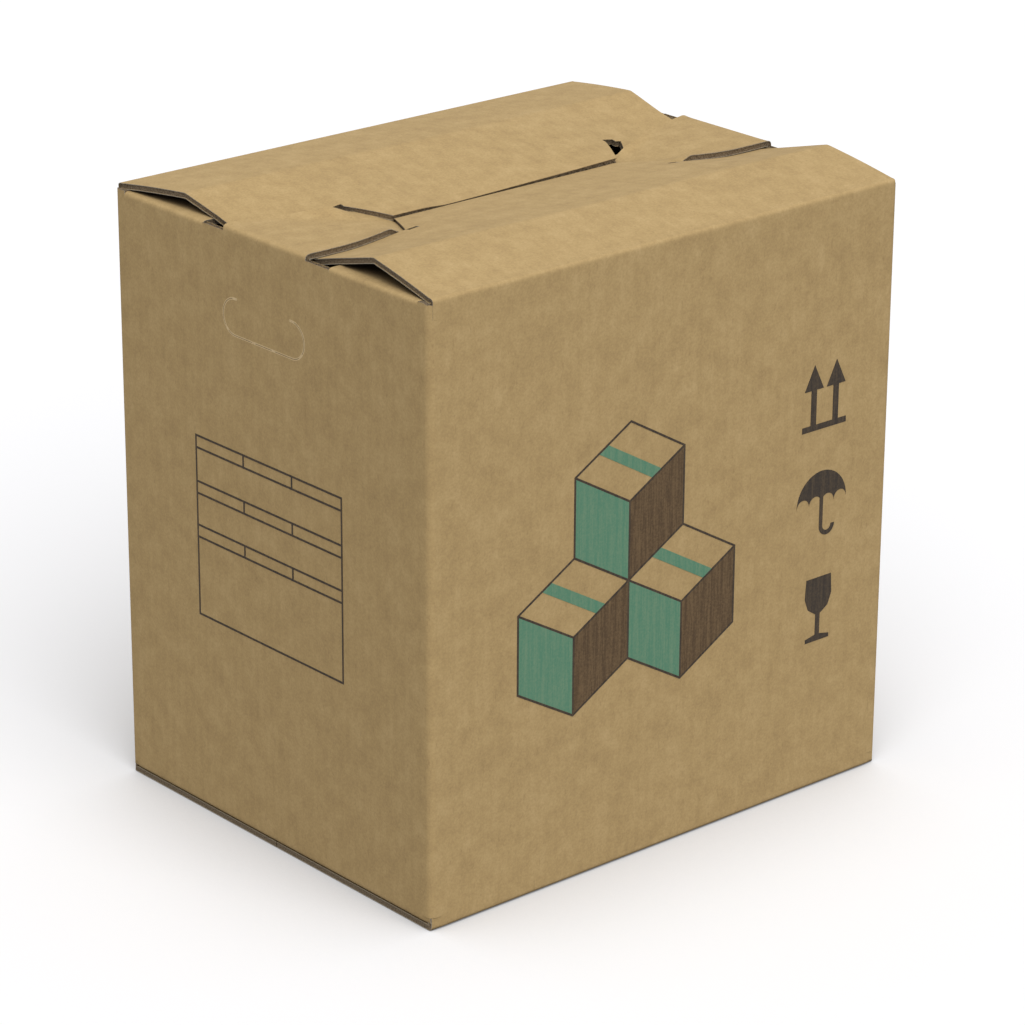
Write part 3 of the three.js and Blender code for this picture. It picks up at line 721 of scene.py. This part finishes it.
        d = np.broadcast_to(d_rows[:, None], e.shape)
        foot = crown - FOLD_RADIUS + FOLD_RADIUS * math.sin(math.pi - turn)
        rising = foot + (d - arc_d[-1]) * math.tan(rise)
        rising = rising + self.bow * np.sin(np.pi * np.clip(d / self.ridge_reach, 0, 1))
        ridge_wave = self.wave * np.sin(x / self.wave_length + self.side)
        falling = self.height(e, d, is_tab, x) + ridge_wave * np.clip((SEAM - d) / self.wave_fade, 0, 1)
        gap = rising - falling
        panel = 0.5 * (rising + falling - np.sqrt(gap**2 + self.ridge_softness))
        z = np.array(panel)
        z[0] = WALL_TOP
        z[1:first_panel_row] = arc_z[:, None]

        slope_d = np.gradient(d, axis=0)
        slope_z = np.gradient(z, axis=0)
        slope_d[0], slope_z[0] = 0, 1
        length = np.hypot(slope_d, slope_z)
        normal = np.stack([0 * d, self.side * slope_z / length, slope_d / length], -1)
        outer = np.stack([x, self.side * (HALF_WIDTH - d), z], -1)
        inner = outer - BOARD * normal

        rows = (d_rows[:-1] + d_rows[1:]) / 2
        columns = (near_index[:-1] + near_index[1:]) / 2
        in_slot = (rows[:, None] > end) & (columns[None, :] > self.tab_edge)
        in_slot = in_slot & (columns[None, :] < self.panel_edge)
        step_size = 1 / self.column_counts[self.panel_edge]
        low, high = (self.panel_edge + step * step_size for step in self.hook_steps)
        in_hook = (rows[:, None] > end - self.hook_depth) & (rows[:, None] < end)
        in_hook = in_hook & (columns[None, :] > low) & (columns[None, :] < high)
        outer, inner = rounded_in(outer), rounded_in(inner)
        board = Board(outer, inner, x, ~(in_slot | in_hook), recess=FLAP_RECESS, seed=7 + self.side)
        main = np.flatnonzero(near_index >= self.panel_edge)
        inward = np.array([0, self.side, 0.0])
        ribbon = flute_ribbon(outer[-1, main], inner[-1, main], inward)
        return board, [ribbon]


FRONT_FLAP = LongFlap(
    "front_long_flap", -1, 60.0, 11.8, 6.0, 36.0,
    (-200, -90, 100, 200), (0, 0, 1.2, 2.2), (0, 2),
)
BACK_FLAP = LongFlap(
    "back_long_flap", 1, 68.0, 8.5, 4.5, 30.0,
    (-200, -96, -70, -52, -20, 60, 100, 200), (0.2, 0.4, 0.4, -0.9, -0.3, 1.6, 2.8, 3.2), (-2, 0),
)


@dataclass(frozen=True)
class Tongue:
    """A short flap's middle: over both corner tabs, then down through the lock slots and under the seam."""

    end: End
    crease: tuple[float, float] = (40.6, 43.0)
    neck: tuple[float, float] = (34.0, 24.0)
    curve: tuple[float, float] = (1.9, 1.9)
    sag: float = 6.5
    tip: float = 24.0
    tip_drop: float = 2.0
    lock_rest: float = 2.2
    sag_power: float = 1.5
    softness: float = 0.6
    row_counts: tuple[int, ...] = (26, 10, 8)
    columns: int = 33

    def flap_at(self, y: np.ndarray, front: np.ndarray, back: np.ndarray) -> np.ndarray:
        """Picks the front flap's value where y is negative, and the back flap's elsewhere."""
        return np.where(y < 0, front, back)

    def height(self, e: np.ndarray, y: np.ndarray) -> np.ndarray:
        """Height of the outer face: the higher of its own sag and a ply over the tabs, then a smooth dive.

        Args:
            e: Distances from the short wall.
            y: Places across the box.

        Returns:
            The heights.
        """
        d = HALF_WIDTH - np.abs(y)
        slit_depth = self.flap_at(y, FRONT_FLAP.slit_depth, BACK_FLAP.slit_depth)
        lock = FRONT_FLAP.lock(np.minimum(np.abs(y), slit_depth))
        slot = lock - FRONT_FLAP.relief
        ply = BOARD + PLY_GAP
        run = FRONT_FLAP.lock_reach - FRONT_FLAP.relief
        sagged = CREASE - self.sag * np.minimum(1, e / run) ** self.sag_power
        edge = np.minimum(e, slot)
        tab = self.flap_at(y, FRONT_FLAP.height(edge, d, True), BACK_FLAP.height(edge, d, True))
        gap = sagged - tab - ply
        over = 0.5 * (sagged + tab + ply + np.sqrt(gap**2 + self.softness))
        panels = np.minimum(FRONT_FLAP.height(lock, d, False), BACK_FLAP.height(lock, d, False))
        dive = smoothstep((e - slot) / FRONT_FLAP.relief, 0, 1)
        under = panels - mix(self.lock_rest, ply, smoothstep(e - lock, 0, 4))
        return mix(over, under, dive) - np.maximum(0, e - lock) / self.tip * self.tip_drop

    def spread(self, e: np.ndarray, is_front: bool) -> np.ndarray:
        """Width from the seam to one side: from the crease to the neck, by a power of the distance."""
        k = 0 if is_front else 1
        run = FRONT_FLAP.lock_reach - FRONT_FLAP.relief
        return mix(self.crease[k], self.neck[k], np.minimum(1, e / run) ** self.curve[k])

    def board(self) -> Board:
        """Builds the tongue's grid. Rows go from the wall over the fold to the tip.

        Returns:
            The board.
        """
        side = self.end.value
        arc = creased(np.pi - np.linspace(0, np.pi / 2, FOLD_STEPS))
        arc_e = FOLD_RADIUS + arc[:, 0]
        to_slot = spaced([0, 1, 2, 3], self.row_counts)[1:]
        across = np.linspace(-1, 1, self.columns)
        fold_rows = len(arc_e) + 1
        rows = fold_rows + len(to_slot)
        e = np.zeros((rows, len(across)))
        y = np.zeros_like(e)
        e[1:fold_rows] = arc_e[:, None]
        stage = to_slot[:, None]
        run = [np.minimum(1, stage), np.clip(stage - 1, 0, 1), np.clip(stage - 2, 0, 1)]
        for is_front, columns in ((True, across < 0), (False, across >= 0)):
            size = np.abs(across[columns])[None, :]
            lock_edge = float(FRONT_FLAP.lock(self.neck[0 if is_front else 1]))
            slot_edge = lock_edge - FRONT_FLAP.relief
            knots_edge = [FOLD_RADIUS, slot_edge, lock_edge, lock_edge + self.tip]
            e_edge = np.interp(to_slot, [0, 1, 2, 3], knots_edge)
            width = self.spread(np.r_[np.zeros(fold_rows), e_edge], is_front)[:, None]
            sign = -1 if is_front else 1
            y[:, columns] = sign * width * size
            lock = FRONT_FLAP.lock(y[fold_rows:, columns])
            slot = lock - FRONT_FLAP.relief
            along = FOLD_RADIUS + (slot - FOLD_RADIUS) * run[0]
            e[fold_rows:, columns] = along + FRONT_FLAP.relief * run[1] + self.tip * run[2]
        z = self.height(e, y)
        lift = np.maximum(0, self.height(np.full(len(across), FOLD_RADIUS), y[0]) - CREASE)
        arc_z = CREASE - FOLD_RADIUS + arc[:, 1]
        z[0] = WALL_TOP
        z[1:fold_rows] = arc_z[:, None] + lift[None, :] * np.linspace(0, 1, len(arc_e))[:, None]
        slope_e = np.gradient(e, axis=0)
        slope_z = np.gradient(z, axis=0)
        slope_e[0], slope_z[0] = 0, 1
        length = np.hypot(slope_e, slope_z)
        normal = np.stack([side * slope_z / length, 0 * e, slope_e / length], -1)
        outer = np.stack([side * (HALF_LENGTH - e), y, z], -1)
        return Board(outer, outer - BOARD * normal, y, recess=FLAP_RECESS, ragged=0.3, seed=21 + side)


def fold_section(start: float, crown: float, reach: float) -> tuple[np.ndarray, np.ndarray]:
    """The section of a wall's edge, a quarter-round fold and a level flap.

    Args:
        start: Height at which it begins on the wall.
        crown: Height of the flap's outer face.
        reach: Distance from the wall's face to the flap's free edge.

    Returns:
        Points and outward normals, as (distance behind the face, height).
    """
    angles = np.pi - np.linspace(0, np.pi / 2, FOLD_STEPS)
    normals = np.stack([np.cos(angles), np.sin(angles)], 1)
    arc = np.array([FOLD_RADIUS, crown - FOLD_RADIUS]) + creased(angles)
    steps = 12
    flat = np.stack([spaced([FOLD_RADIUS, reach], (steps,))[1:], np.full(steps, crown)], 1)
    points = np.concatenate([[[0, start]], arc, flat])
    return points, np.concatenate([[[-1, 0]], normals, np.tile([0.0, 1.0], (steps, 1))])


@dataclass(frozen=True)
class PlainFlaps:
    """The flaps of one plain section: side tabs under the ridges, and the four bottom flaps."""

    side_tab_start: float = 11.0
    side_tab_length: float = 92.0
    notch_front: float = 23.0
    notch_back: float = 22.0
    notch_drop: float = 3.5
    bottom_inner: float = 150.0
    bottom_slot: float = 1.0
    bottom_edge: float = 0.1
    tab_columns: int = 24
    stub_columns: int = 12
    bottom_columns: int = 40

    def carried(
        self, points: np.ndarray, normals: np.ndarray, along: np.ndarray, end: float, on_short: bool
    ) -> Board:
        """Carries a section along a wall.

        Args:
            points: The section's points.
            normals: Its outward normals.
            along: Places along the wall.
            end: -1 or 1, the wall's side.
            on_short: True for a short wall, where the section is carried along Y.

        Returns:
            The board.
        """
        rows, columns = len(points), len(along)
        deep = np.broadcast_to(points[:, :1], (rows, columns))
        high = np.broadcast_to(points[:, 1:], (rows, columns))
        flat = np.broadcast_to(along, (rows, columns))
        far = HALF_LENGTH if on_short else HALF_WIDTH
        level = end * (far - deep)
        away = np.broadcast_to(-end * normals[:, :1], (rows, columns))
        up = np.broadcast_to(normals[:, 1:], (rows, columns))
        if on_short:
            outer, normal = np.stack([level, flat, high], -1), np.stack([away, 0 * flat, up], -1)
        else:
            outer, normal = np.stack([flat, level, high], -1), np.stack([0 * flat, away, up], -1)
        inner = rounded_in(outer - BOARD * normal)
        return Board(rounded_in(outer), inner, flat, recess=FLAP_RECESS, seed=rows + columns)

    def side_tab(self, end: End, flap: LongFlap, crease: float, notch: float) -> tuple[Board, Board, Shell]:
        """A side tab, and the raw edge of the notch beside it.

        Args:
            end: The short wall.
            flap: The long flap above the tab.
            crease: Where the tongue's fold ends, from the middle.
            notch: Width of the notch.

        Returns:
            The tab, the stub of wall in the notch, and the fluted ribbon along the stub's top.
        """
        reach = HALF_WIDTH - crease - notch
        over = float(flap.height(np.array(0.0), np.array(reach), True))
        rise = mix(CREASE + LONG_CREASE_RISE, flap.ridge, self.side_tab_start / flap.ridge_reach)
        crown = min(over, rise, CREASE + BOARD + PLY_GAP) - BOARD - PLY_GAP
        points, normals = fold_section(WALL_TOP, crown, self.side_tab_length)
        tab_ends = (HALF_WIDTH - reach, HALF_WIDTH - self.side_tab_start)
        along = flap.side * np.linspace(*tab_ends, self.tab_columns)
        tab = self.carried(points, normals, along, end.value, True)
        top = CREASE - self.notch_drop
        stub_points = np.array([[0, WALL_TOP], [0, (WALL_TOP + top) / 2], [0, top]])
        stub_normals = np.tile([-1.0, 0.0], (3, 1))
        stub_along = flap.side * np.linspace(crease, HALF_WIDTH - reach, self.stub_columns)
        stub = self.carried(stub_points, stub_normals, stub_along, end.value, True)
        ribbon = flute_ribbon(stub.outer[-1], stub.inner[-1], np.array([0, 0, -1.0]))
        return tab, stub, ribbon

    def bottom(self, end: float, is_long: bool) -> Board:
        """A bottom flap: the top flap's section, turned upside down.

        Args:
            end: -1 or 1, the wall's side.
            is_long: True for an outer flap on a long wall.

        Returns:
            The board.
        """
        under = 0.0 if is_long else INNER_FLOOR
        reach = SEAM if is_long else self.bottom_inner
        points, normals = fold_section(-WALL_BOTTOM, -under, reach)
        points = points * np.array([1, -1])
        normals = normals * np.array([1, -1])
        half = (HALF_LENGTH if is_long else HALF_WIDTH) - self.bottom_slot
        along = np.linspace(-half, half, self.bottom_columns)
        flap = self.carried(points, normals, along, end, not is_long)
        return replace(flap, recess=self.bottom_edge, ragged=self.bottom_edge)


def wall_ring(distance: float) -> tuple[np.ndarray, np.ndarray]:
    """The walls' outline in plan, a rectangle with rounded corners, drawn in by a distance.

    Args:
        distance: How far inside the outer face.

    Returns:
        Points around the ring, closed, and the distance across the flutes at each.
    """
    least_radius = 0.6
    radius = max(CORNER_RADIUS - distance, least_radius)
    sizes = np.array([HALF_LENGTH - distance - radius, HALF_WIDTH - distance - radius])
    corners = [(1, 1), (-1, 1), (-1, -1), (1, -1)]
    runs = []
    for k, corner in enumerate(corners):
        turn = np.linspace(0, np.pi / 2, FOLD_STEPS) + k * np.pi / 2
        arc = np.array(corner) * sizes + radius * np.stack([np.cos(turn), np.sin(turn)], 1)
        after = np.array(corners[(k + 1) % 4]) * sizes
        next_start = after + radius * np.array([np.cos(turn[-1]), np.sin(turn[-1])])
        middle = mix(arc[-1], next_start, np.linspace(0, 1, 24)[1:-1, None])
        runs += [arc, middle]
    ring = np.concatenate([*runs, runs[0][:1]])
    return ring, ring.sum(1)


@dataclass(frozen=True)
class Walls:
    """The tube of four walls, its corner stubs and the glued lap inside."""

    corner_drop: float = 2.5
    fray_depth: float = 2.0
    fray: tuple[float, float] = (-0.6, 0.4)
    fray_seed: int = 5
    lap: float = 35.0

    def tube(self) -> Board:
        """The walls between the folds: the outline in plan, carried straight up.

        Returns:
            The board.
        """
        outer_ring, across = wall_ring(0)
        inner_ring, _ = wall_ring(BOARD)
        heights = np.linspace(WALL_BOTTOM, WALL_TOP, 28)
        outer, inner = (
            np.concatenate(
                [np.broadcast_to(ring, (len(heights), *ring.shape)),
                 np.broadcast_to(heights[:, None, None], (len(heights), len(ring), 1))], -1)
            for ring in (outer_ring, inner_ring)
        )
        return Board(outer, inner, np.broadcast_to(across, outer.shape[:2]), recess=0.0, ragged=0.0)

    def corner_stubs(self) -> list[Board]:
        """The upright corners between the folds, with a frayed top.

        Returns:
            Four boards.
        """
        boards = []
        chance = np.random.default_rng(self.fray_seed)
        centre = np.array([HALF_LENGTH, HALF_WIDTH]) - CORNER_RADIUS
        turn = np.linspace(0, math.acos(1 - FRONT_FLAP.end_setback / CORNER_RADIUS), 8)
        around = np.stack([np.cos(turn), np.sin(turn)], 1)
        top = CREASE - self.corner_drop
        for x_sign in (-1, 1):
            for y_sign in (-1, 1):
                fray = chance.uniform(*self.fray, len(turn) + 1)
                levels = [WALL_TOP, top - self.fray_depth]
                heights = [*(np.full_like(fray, level) for level in levels), top + fray]
                grids = []
                for radius in (CORNER_RADIUS, CORNER_RADIUS - BOARD):
                    arc = centre + radius * around
                    plan = np.concatenate([[[arc[0, 0], HALF_WIDTH - PlainFlaps.side_tab_start]], arc])
                    grids.append(np.stack([np.c_[plan * [x_sign, y_sign], h] for h in heights]))
                flutes = grids[0][..., :2].sum(-1)
                boards.append(Board(grids[0], grids[1], flutes, recess=0.0, ragged=0.0))
        return boards

    def glue_lap(self) -> Board:
        """The lap glued inside the back wall, with its corners cut at an angle.

        Returns:
            The board.
        """
        reach = np.linspace(0, self.lap, 6)
        cut = reach / 2
        share = np.linspace(0, 1, 12)[:, None]
        z = mix((WALL_BOTTOM + cut)[None, :], (WALL_TOP - cut)[None, :], share)
        x = np.broadcast_to(BOARD - HALF_LENGTH + reach, z.shape)
        y = np.full(z.shape, HALF_WIDTH - BOARD)
        outer = np.stack([x, y, z], -1)
        return Board(outer, outer - [0, BOARD, 0], x)


@dataclass(frozen=True)
class HandHole:
    """The die-cut line of a hand hole's tab: a pressed line, with a lighter lip of raised liner."""

    width: float = 83.0
    height: float = 24.6
    offset: float = 3.0
    centre: float = 360.0
    hinge: float = 54.0
    lip_width: float = 1.7
    lip_proud: float = 0.05
    cut_width: float = 0.35
    cut_proud: float = 0.08
    set_in: float = 0.3
    cut_spans: tuple = ((0.03, 0.21), (0.235, 0.42), (0.44, 0.56), (0.58, 0.765), (0.79, 0.97))

    def path(self, count: int = 160) -> np.ndarray:
        """The slot's outline from one end of the hinge round below to the other end.

        Args:
            count: Number of points.

        Returns:
            Points as (along the wall, height), measured from the centre.
        """
        radius = self.height / 2
        straight = self.width / 2 - radius
        left = np.linspace(np.pi / 2, 1.5 * np.pi, 40)
        right = np.linspace(-np.pi / 2, np.pi / 2, 40)
        arc_left = np.stack([-straight + radius * np.cos(left), radius * np.sin(left)], 1)
        arc_right = np.stack([straight + radius * np.cos(right), radius * np.sin(right)], 1)
        start = [[-self.hinge / 2, radius]]
        points = np.concatenate([start, arc_left, arc_right, [[self.hinge / 2, radius]]])
        steps = np.r_[0, np.cumsum(np.linalg.norm(np.diff(points, axis=0), axis=1))]
        fine = np.linspace(0, steps[-1], count)
        return np.stack([np.interp(fine, steps, points[:, k]) for k in range(2)], 1)

    def band(self, end: End, width: float, proud: float, spans: list[tuple[float, float]]) -> list[Shell]:
        """Flat bands along the line, on the wall's face.

        Args:
            end: The short wall.
            width: Width of the band.
            proud: How far it stands off the face.
            spans: The parts of the line that have it, from 0 to 1.

        Returns:
            One shell for each span.
        """
        line = self.path()
        tangent = np.gradient(line, axis=0)
        tangent /= np.linalg.norm(tangent, axis=1, keepdims=True)
        beside = np.stack([-tangent[:, 1], tangent[:, 0]], 1)
        share = np.linspace(0, 1, len(line))
        shells = []
        for low, high in spans:
            pick = (share >= low) & (share <= high)
            sides = [line[pick] + k * width / 2 * beside[pick] for k in (-1, 1)]
            grids = []
            for stand in (proud, -self.set_in):
                x = end.value * (HALF_LENGTH + stand)
                place = np.array([x, self.offset, self.centre])
                grids.append(np.stack([np.pad(side, ((0, 0), (1, 0))) + place for side in sides]))
            kept = np.ones((1, int(pick.sum()) - 1), bool)
            flutes = grids[0][..., 1]
            shells.append(layer(grids[0], grids[1], kept, flutes, Finish.LINER))
        return shells

    def shells(self, end: End) -> tuple[list[Shell], list[Shell]]:
        """The lighter lip all along the line, and the dark cut between its nicks.

        Args:
            end: The short wall.

        Returns:
            Lip and cut.
        """
        lip = self.band(end, self.lip_width, self.lip_proud, [(0, 1)])
        cut = self.band(end, self.cut_width, self.cut_proud, self.cut_spans)
        return lip, cut


@dataclass
class CartonBoards:
    """All boards of the carton, made into pieces that stand for its one CAD node."""

    materials: list[bpy.types.Material]
    lip: bpy.types.Material
    cut: bpy.types.Material

    def keep(
        self, name: str, shells: list[Shell], materials: list[bpy.types.Material] | None = None
    ) -> None:
        """Makes one piece, lets it ride on the carton's body and hides the carton's CAD node.

        Args:
            name: The piece's name.
            shells: Its shells.
            materials: Its materials, where they aren't the board's.
        """
        piece = make_piece(name, shells, materials or self.materials)
        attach(piece, "root")
        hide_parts(CARTON_NODE)
        LOG.info("%s: %d faces", name, len(piece.data.polygons))

    def build(self) -> None:
        """Builds every board, from the walls up."""
        walls = Walls()
        self.keep("wall_tube", walls.tube().shells())
        self.keep("corner_stubs", [s for board in walls.corner_stubs() for s in board.shells()])
        self.keep("glue_lap", walls.glue_lap().shells())
        for flap in (FRONT_FLAP, BACK_FLAP):
            board, ribbons = flap.board()
            self.keep(flap.name, board.shells() + ribbons)
        tongues = [Tongue(End.NEAR), Tongue(End.FAR, neck=(34.0, 15.0), curve=(1.9, 1.6))]
        for tongue in tongues:
            self.keep(f"tongue_{tongue.end.name.lower()}", tongue.board().shells())
        plain = PlainFlaps()
        for end in End:
            for flap, k, notch in ((FRONT_FLAP, 0, plain.notch_front), (BACK_FLAP, 1, plain.notch_back)):
                tab, stub, ribbon = plain.side_tab(end, flap, tongues[0].crease[k], notch)
                name = f"side_tab_{end.name.lower()}_{'front' if k == 0 else 'back'}"
                self.keep(name, [*tab.shells(), *stub.shells(), ribbon])
        for sign, word in ((-1, "low"), (1, "high")):
            self.keep(f"bottom_long_flap_{word}", plain.bottom(sign, True).shells())
            self.keep(f"bottom_short_flap_{word}", plain.bottom(sign, False).shells())
        for end in End:
            lip, cut = HandHole().shells(end)
            self.keep(f"hand_hole_lip_{end.name.lower()}", lip, [self.lip] * 4)
            self.keep(f"hand_hole_cut_{end.name.lower()}", cut, [self.cut] * 4)


def dress_print(nodes: dict[str, bpy.types.Object]) -> None:
    """Gives each printed field of the CAD part its ink.

    Args:
        nodes: The CAD nodes by name.
    """
    green = FlexoInk("green_flexo_ink", "5B8A70", "79977A").make()
    brown = FlexoInk("brown_flexo_ink", "55432F", "7C6548").make()
    dark = FlexoInk("black_flexo_ink", "37302A", "5C4E3D").make()
    for name, node in nodes.items():
        if name == CARTON_NODE:
            continue
        ink = green if name.startswith(("green", "tape")) else brown if name.startswith("brown") else dark
        node.data.materials.clear()
        node.data.materials.append(ink)
        LOG.info("%s: %s", name, ink.name)


@dataclass(frozen=True)
class Studio:
    """The floor, the lights and the camera."""

    camera_at: tuple[float, float, float] = (-1.65384, -1.90967, 1.16742)
    heading: float = 49.0124
    tilt: float = -21.208
    roll: float = 0.3236
    focal_share: float = 4026.6 / 1025
    sensor: float = 36.0
    to_sun: tuple[float, float, float] = (-0.18, -0.4, 0.58)
    sun_strength: float = 2.2
    sun_angle: float = 60.0
    ambient: float = 0.43
    floor_glow: float = 0.14
    floor_colour: str = "F3F3F5"
    floor_bounce: str = "959494"
    # Colour, reach and power of the painted contact shadow on the floor.
    painted_contact_shadow: str = "1C1916"
    contact_reach: float = 0.16
    contact_power: float = 1.8
    floor_half: float = 6.0
    floor_drop: float = 0.0003

    def camera(self) -> None:
        """Places the camera, aimed by heading, tilt and roll."""
        heading, tilt, roll = (math.radians(v) for v in (self.heading, self.tilt, self.roll))
        level = np.array([math.cos(heading), math.sin(heading), 0.0])
        ahead = math.cos(tilt) * level + [0, 0, math.sin(tilt)]
        right = np.array([math.sin(heading), -math.cos(heading), 0.0])
        above = np.cross(right, ahead)
        turned = right * math.cos(roll) + above * math.sin(roll)
        upright = above * math.cos(roll) - right * math.sin(roll)
        data = bpy.data.cameras.new("camera")
        data.sensor_width = self.sensor
        data.lens = self.focal_share * self.sensor
        camera = bpy.data.objects.new("camera", data)
        bpy.context.scene.collection.objects.link(camera)
        place = np.eye(4)
        place[:3, :3] = np.stack([turned, upright, -ahead], 1)
        place[:3, 3] = self.camera_at
        camera.matrix_world = Matrix(place.tolist())
        bpy.context.scene.camera = camera

    def lights(self) -> None:
        """A wide soft lamp high behind the camera, and an even dim sky that the camera sees as white."""
        lamp = bpy.data.lights.new("softbox", "SUN")
        lamp.energy = self.sun_strength
        lamp.angle = math.radians(self.sun_angle)
        sun = bpy.data.objects.new("softbox", lamp)
        bpy.context.scene.collection.objects.link(sun)
        back = np.array(self.to_sun) / np.linalg.norm(self.to_sun)
        side = np.cross([0, 0, 1], back)
        side /= np.linalg.norm(side)
        place = np.eye(4)
        place[:3, :3] = np.stack([side, np.cross(back, side), back], 1)
        sun.matrix_world = Matrix(place.tolist())
        world = bpy.data.worlds.new("studio")
        bpy.context.scene.world = world
        world.use_nodes = True
        world.node_tree.nodes.clear()
        recipe = Recipe(world.node_tree)
        white = linear("FFFFFF")
        lit = recipe.add("ShaderNodeBackground", {"Color": white, "Strength": self.ambient})
        shown = recipe.add("ShaderNodeBackground", {"Color": white, "Strength": 1.0})
        blend = recipe.add("ShaderNodeMixShader", links={0: recipe.seen_ray(), 1: lit, 2: shown})
        recipe.add("ShaderNodeOutputWorld", links={"Surface": blend})

    def floor(self) -> None:
        """A wide white floor that keeps the carton's soft shadow, deepened near it by a painted contact
        shadow, and throws little light back at it.
        """
        side = np.linspace(-self.floor_half, self.floor_half, 13)
        x, y = np.meshgrid(side, side, indexing="ij")
        points = np.stack([x, y, np.full(x.shape, -self.floor_drop)], -1).reshape(-1, 3)
        ids = np.arange(x.size).reshape(x.shape)
        quads = np.stack([ids[:-1, :-1], ids[1:, :-1], ids[1:, 1:], ids[:-1, 1:]], -1).reshape(-1, 4)
        mesh = bpy.data.meshes.new("floor")
        mesh.from_pydata(points.tolist(), [], quads.tolist())
        material, recipe = new_material("white_studio_floor")
        seen = recipe.seen_ray()
        # Painted contact shadow: as the camera sees it, the floor's colour is mixed towards the shadow
        # colour near the carton, by an ambient-occlusion test.
        power = {"operation": "POWER", 1: self.contact_power}
        contact = recipe.add(MATHS, power, {0: recipe.hollow(self.contact_reach)})
        shown = {MIX_UNDER: linear(self.floor_colour), MIX_OVER: linear(self.painted_contact_shadow)}
        shade = recipe.add(MIX, {"data_type": "RGBA", **shown}, {0: contact}, MIX_OUT)
        hidden = {MIX_UNDER: linear(self.floor_bounce)}
        shade = recipe.add(MIX, {"data_type": "RGBA", **hidden}, {0: seen, MIX_OVER: shade}, MIX_OUT)
        matt = recipe.add("ShaderNodeBsdfDiffuse", links={"Color": shade})
        strength = recipe.add(MATHS, {"operation": "MULTIPLY", 1: self.floor_glow}, {0: seen})
        glow = recipe.add("ShaderNodeEmission", {"Color": linear("FFFFFF")}, {"Strength": strength})
        both = recipe.add("ShaderNodeAddShader", links={0: matt, 1: glow})
        recipe.add("ShaderNodeOutputMaterial", links={"Surface": both})
        mesh.materials.append(material)
        floor = bpy.data.objects.new("floor", mesh)
        bpy.context.scene.collection.objects.link(floor)

    def set_up(self) -> None:
        """Builds the whole studio."""
        self.camera()
        self.lights()
        self.floor()
        bpy.context.scene.view_settings.view_transform = "Standard"


def main(frame: dict) -> None:
    """Builds the carton and its studio.
    """
    logging.basicConfig(level=logging.INFO)
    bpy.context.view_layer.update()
    Studio().set_up()
    board = [
        KraftLiner().make(),
        RawPaper("cut_kraft_edge", "6A5A43", "A08C6C").make(),
        RawPaper("torn_kraft_edge", "7F7568", "B3A997").make(),
        RawPaper("fluting_medium", "54483A", "8E7D65").make(),
    ]
    lip = KraftLiner("raised_kraft_lip", "C6AB80", "D8BF93", "E6D1A8").make()
    cut = RawPaper("pressed_cut", "6B5539", "86704F").make()
    CartonBoards(board, lip, cut).build()
    dress_print(frame["nodes"])
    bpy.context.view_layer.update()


if __name__ == "__main__":
    main(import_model())
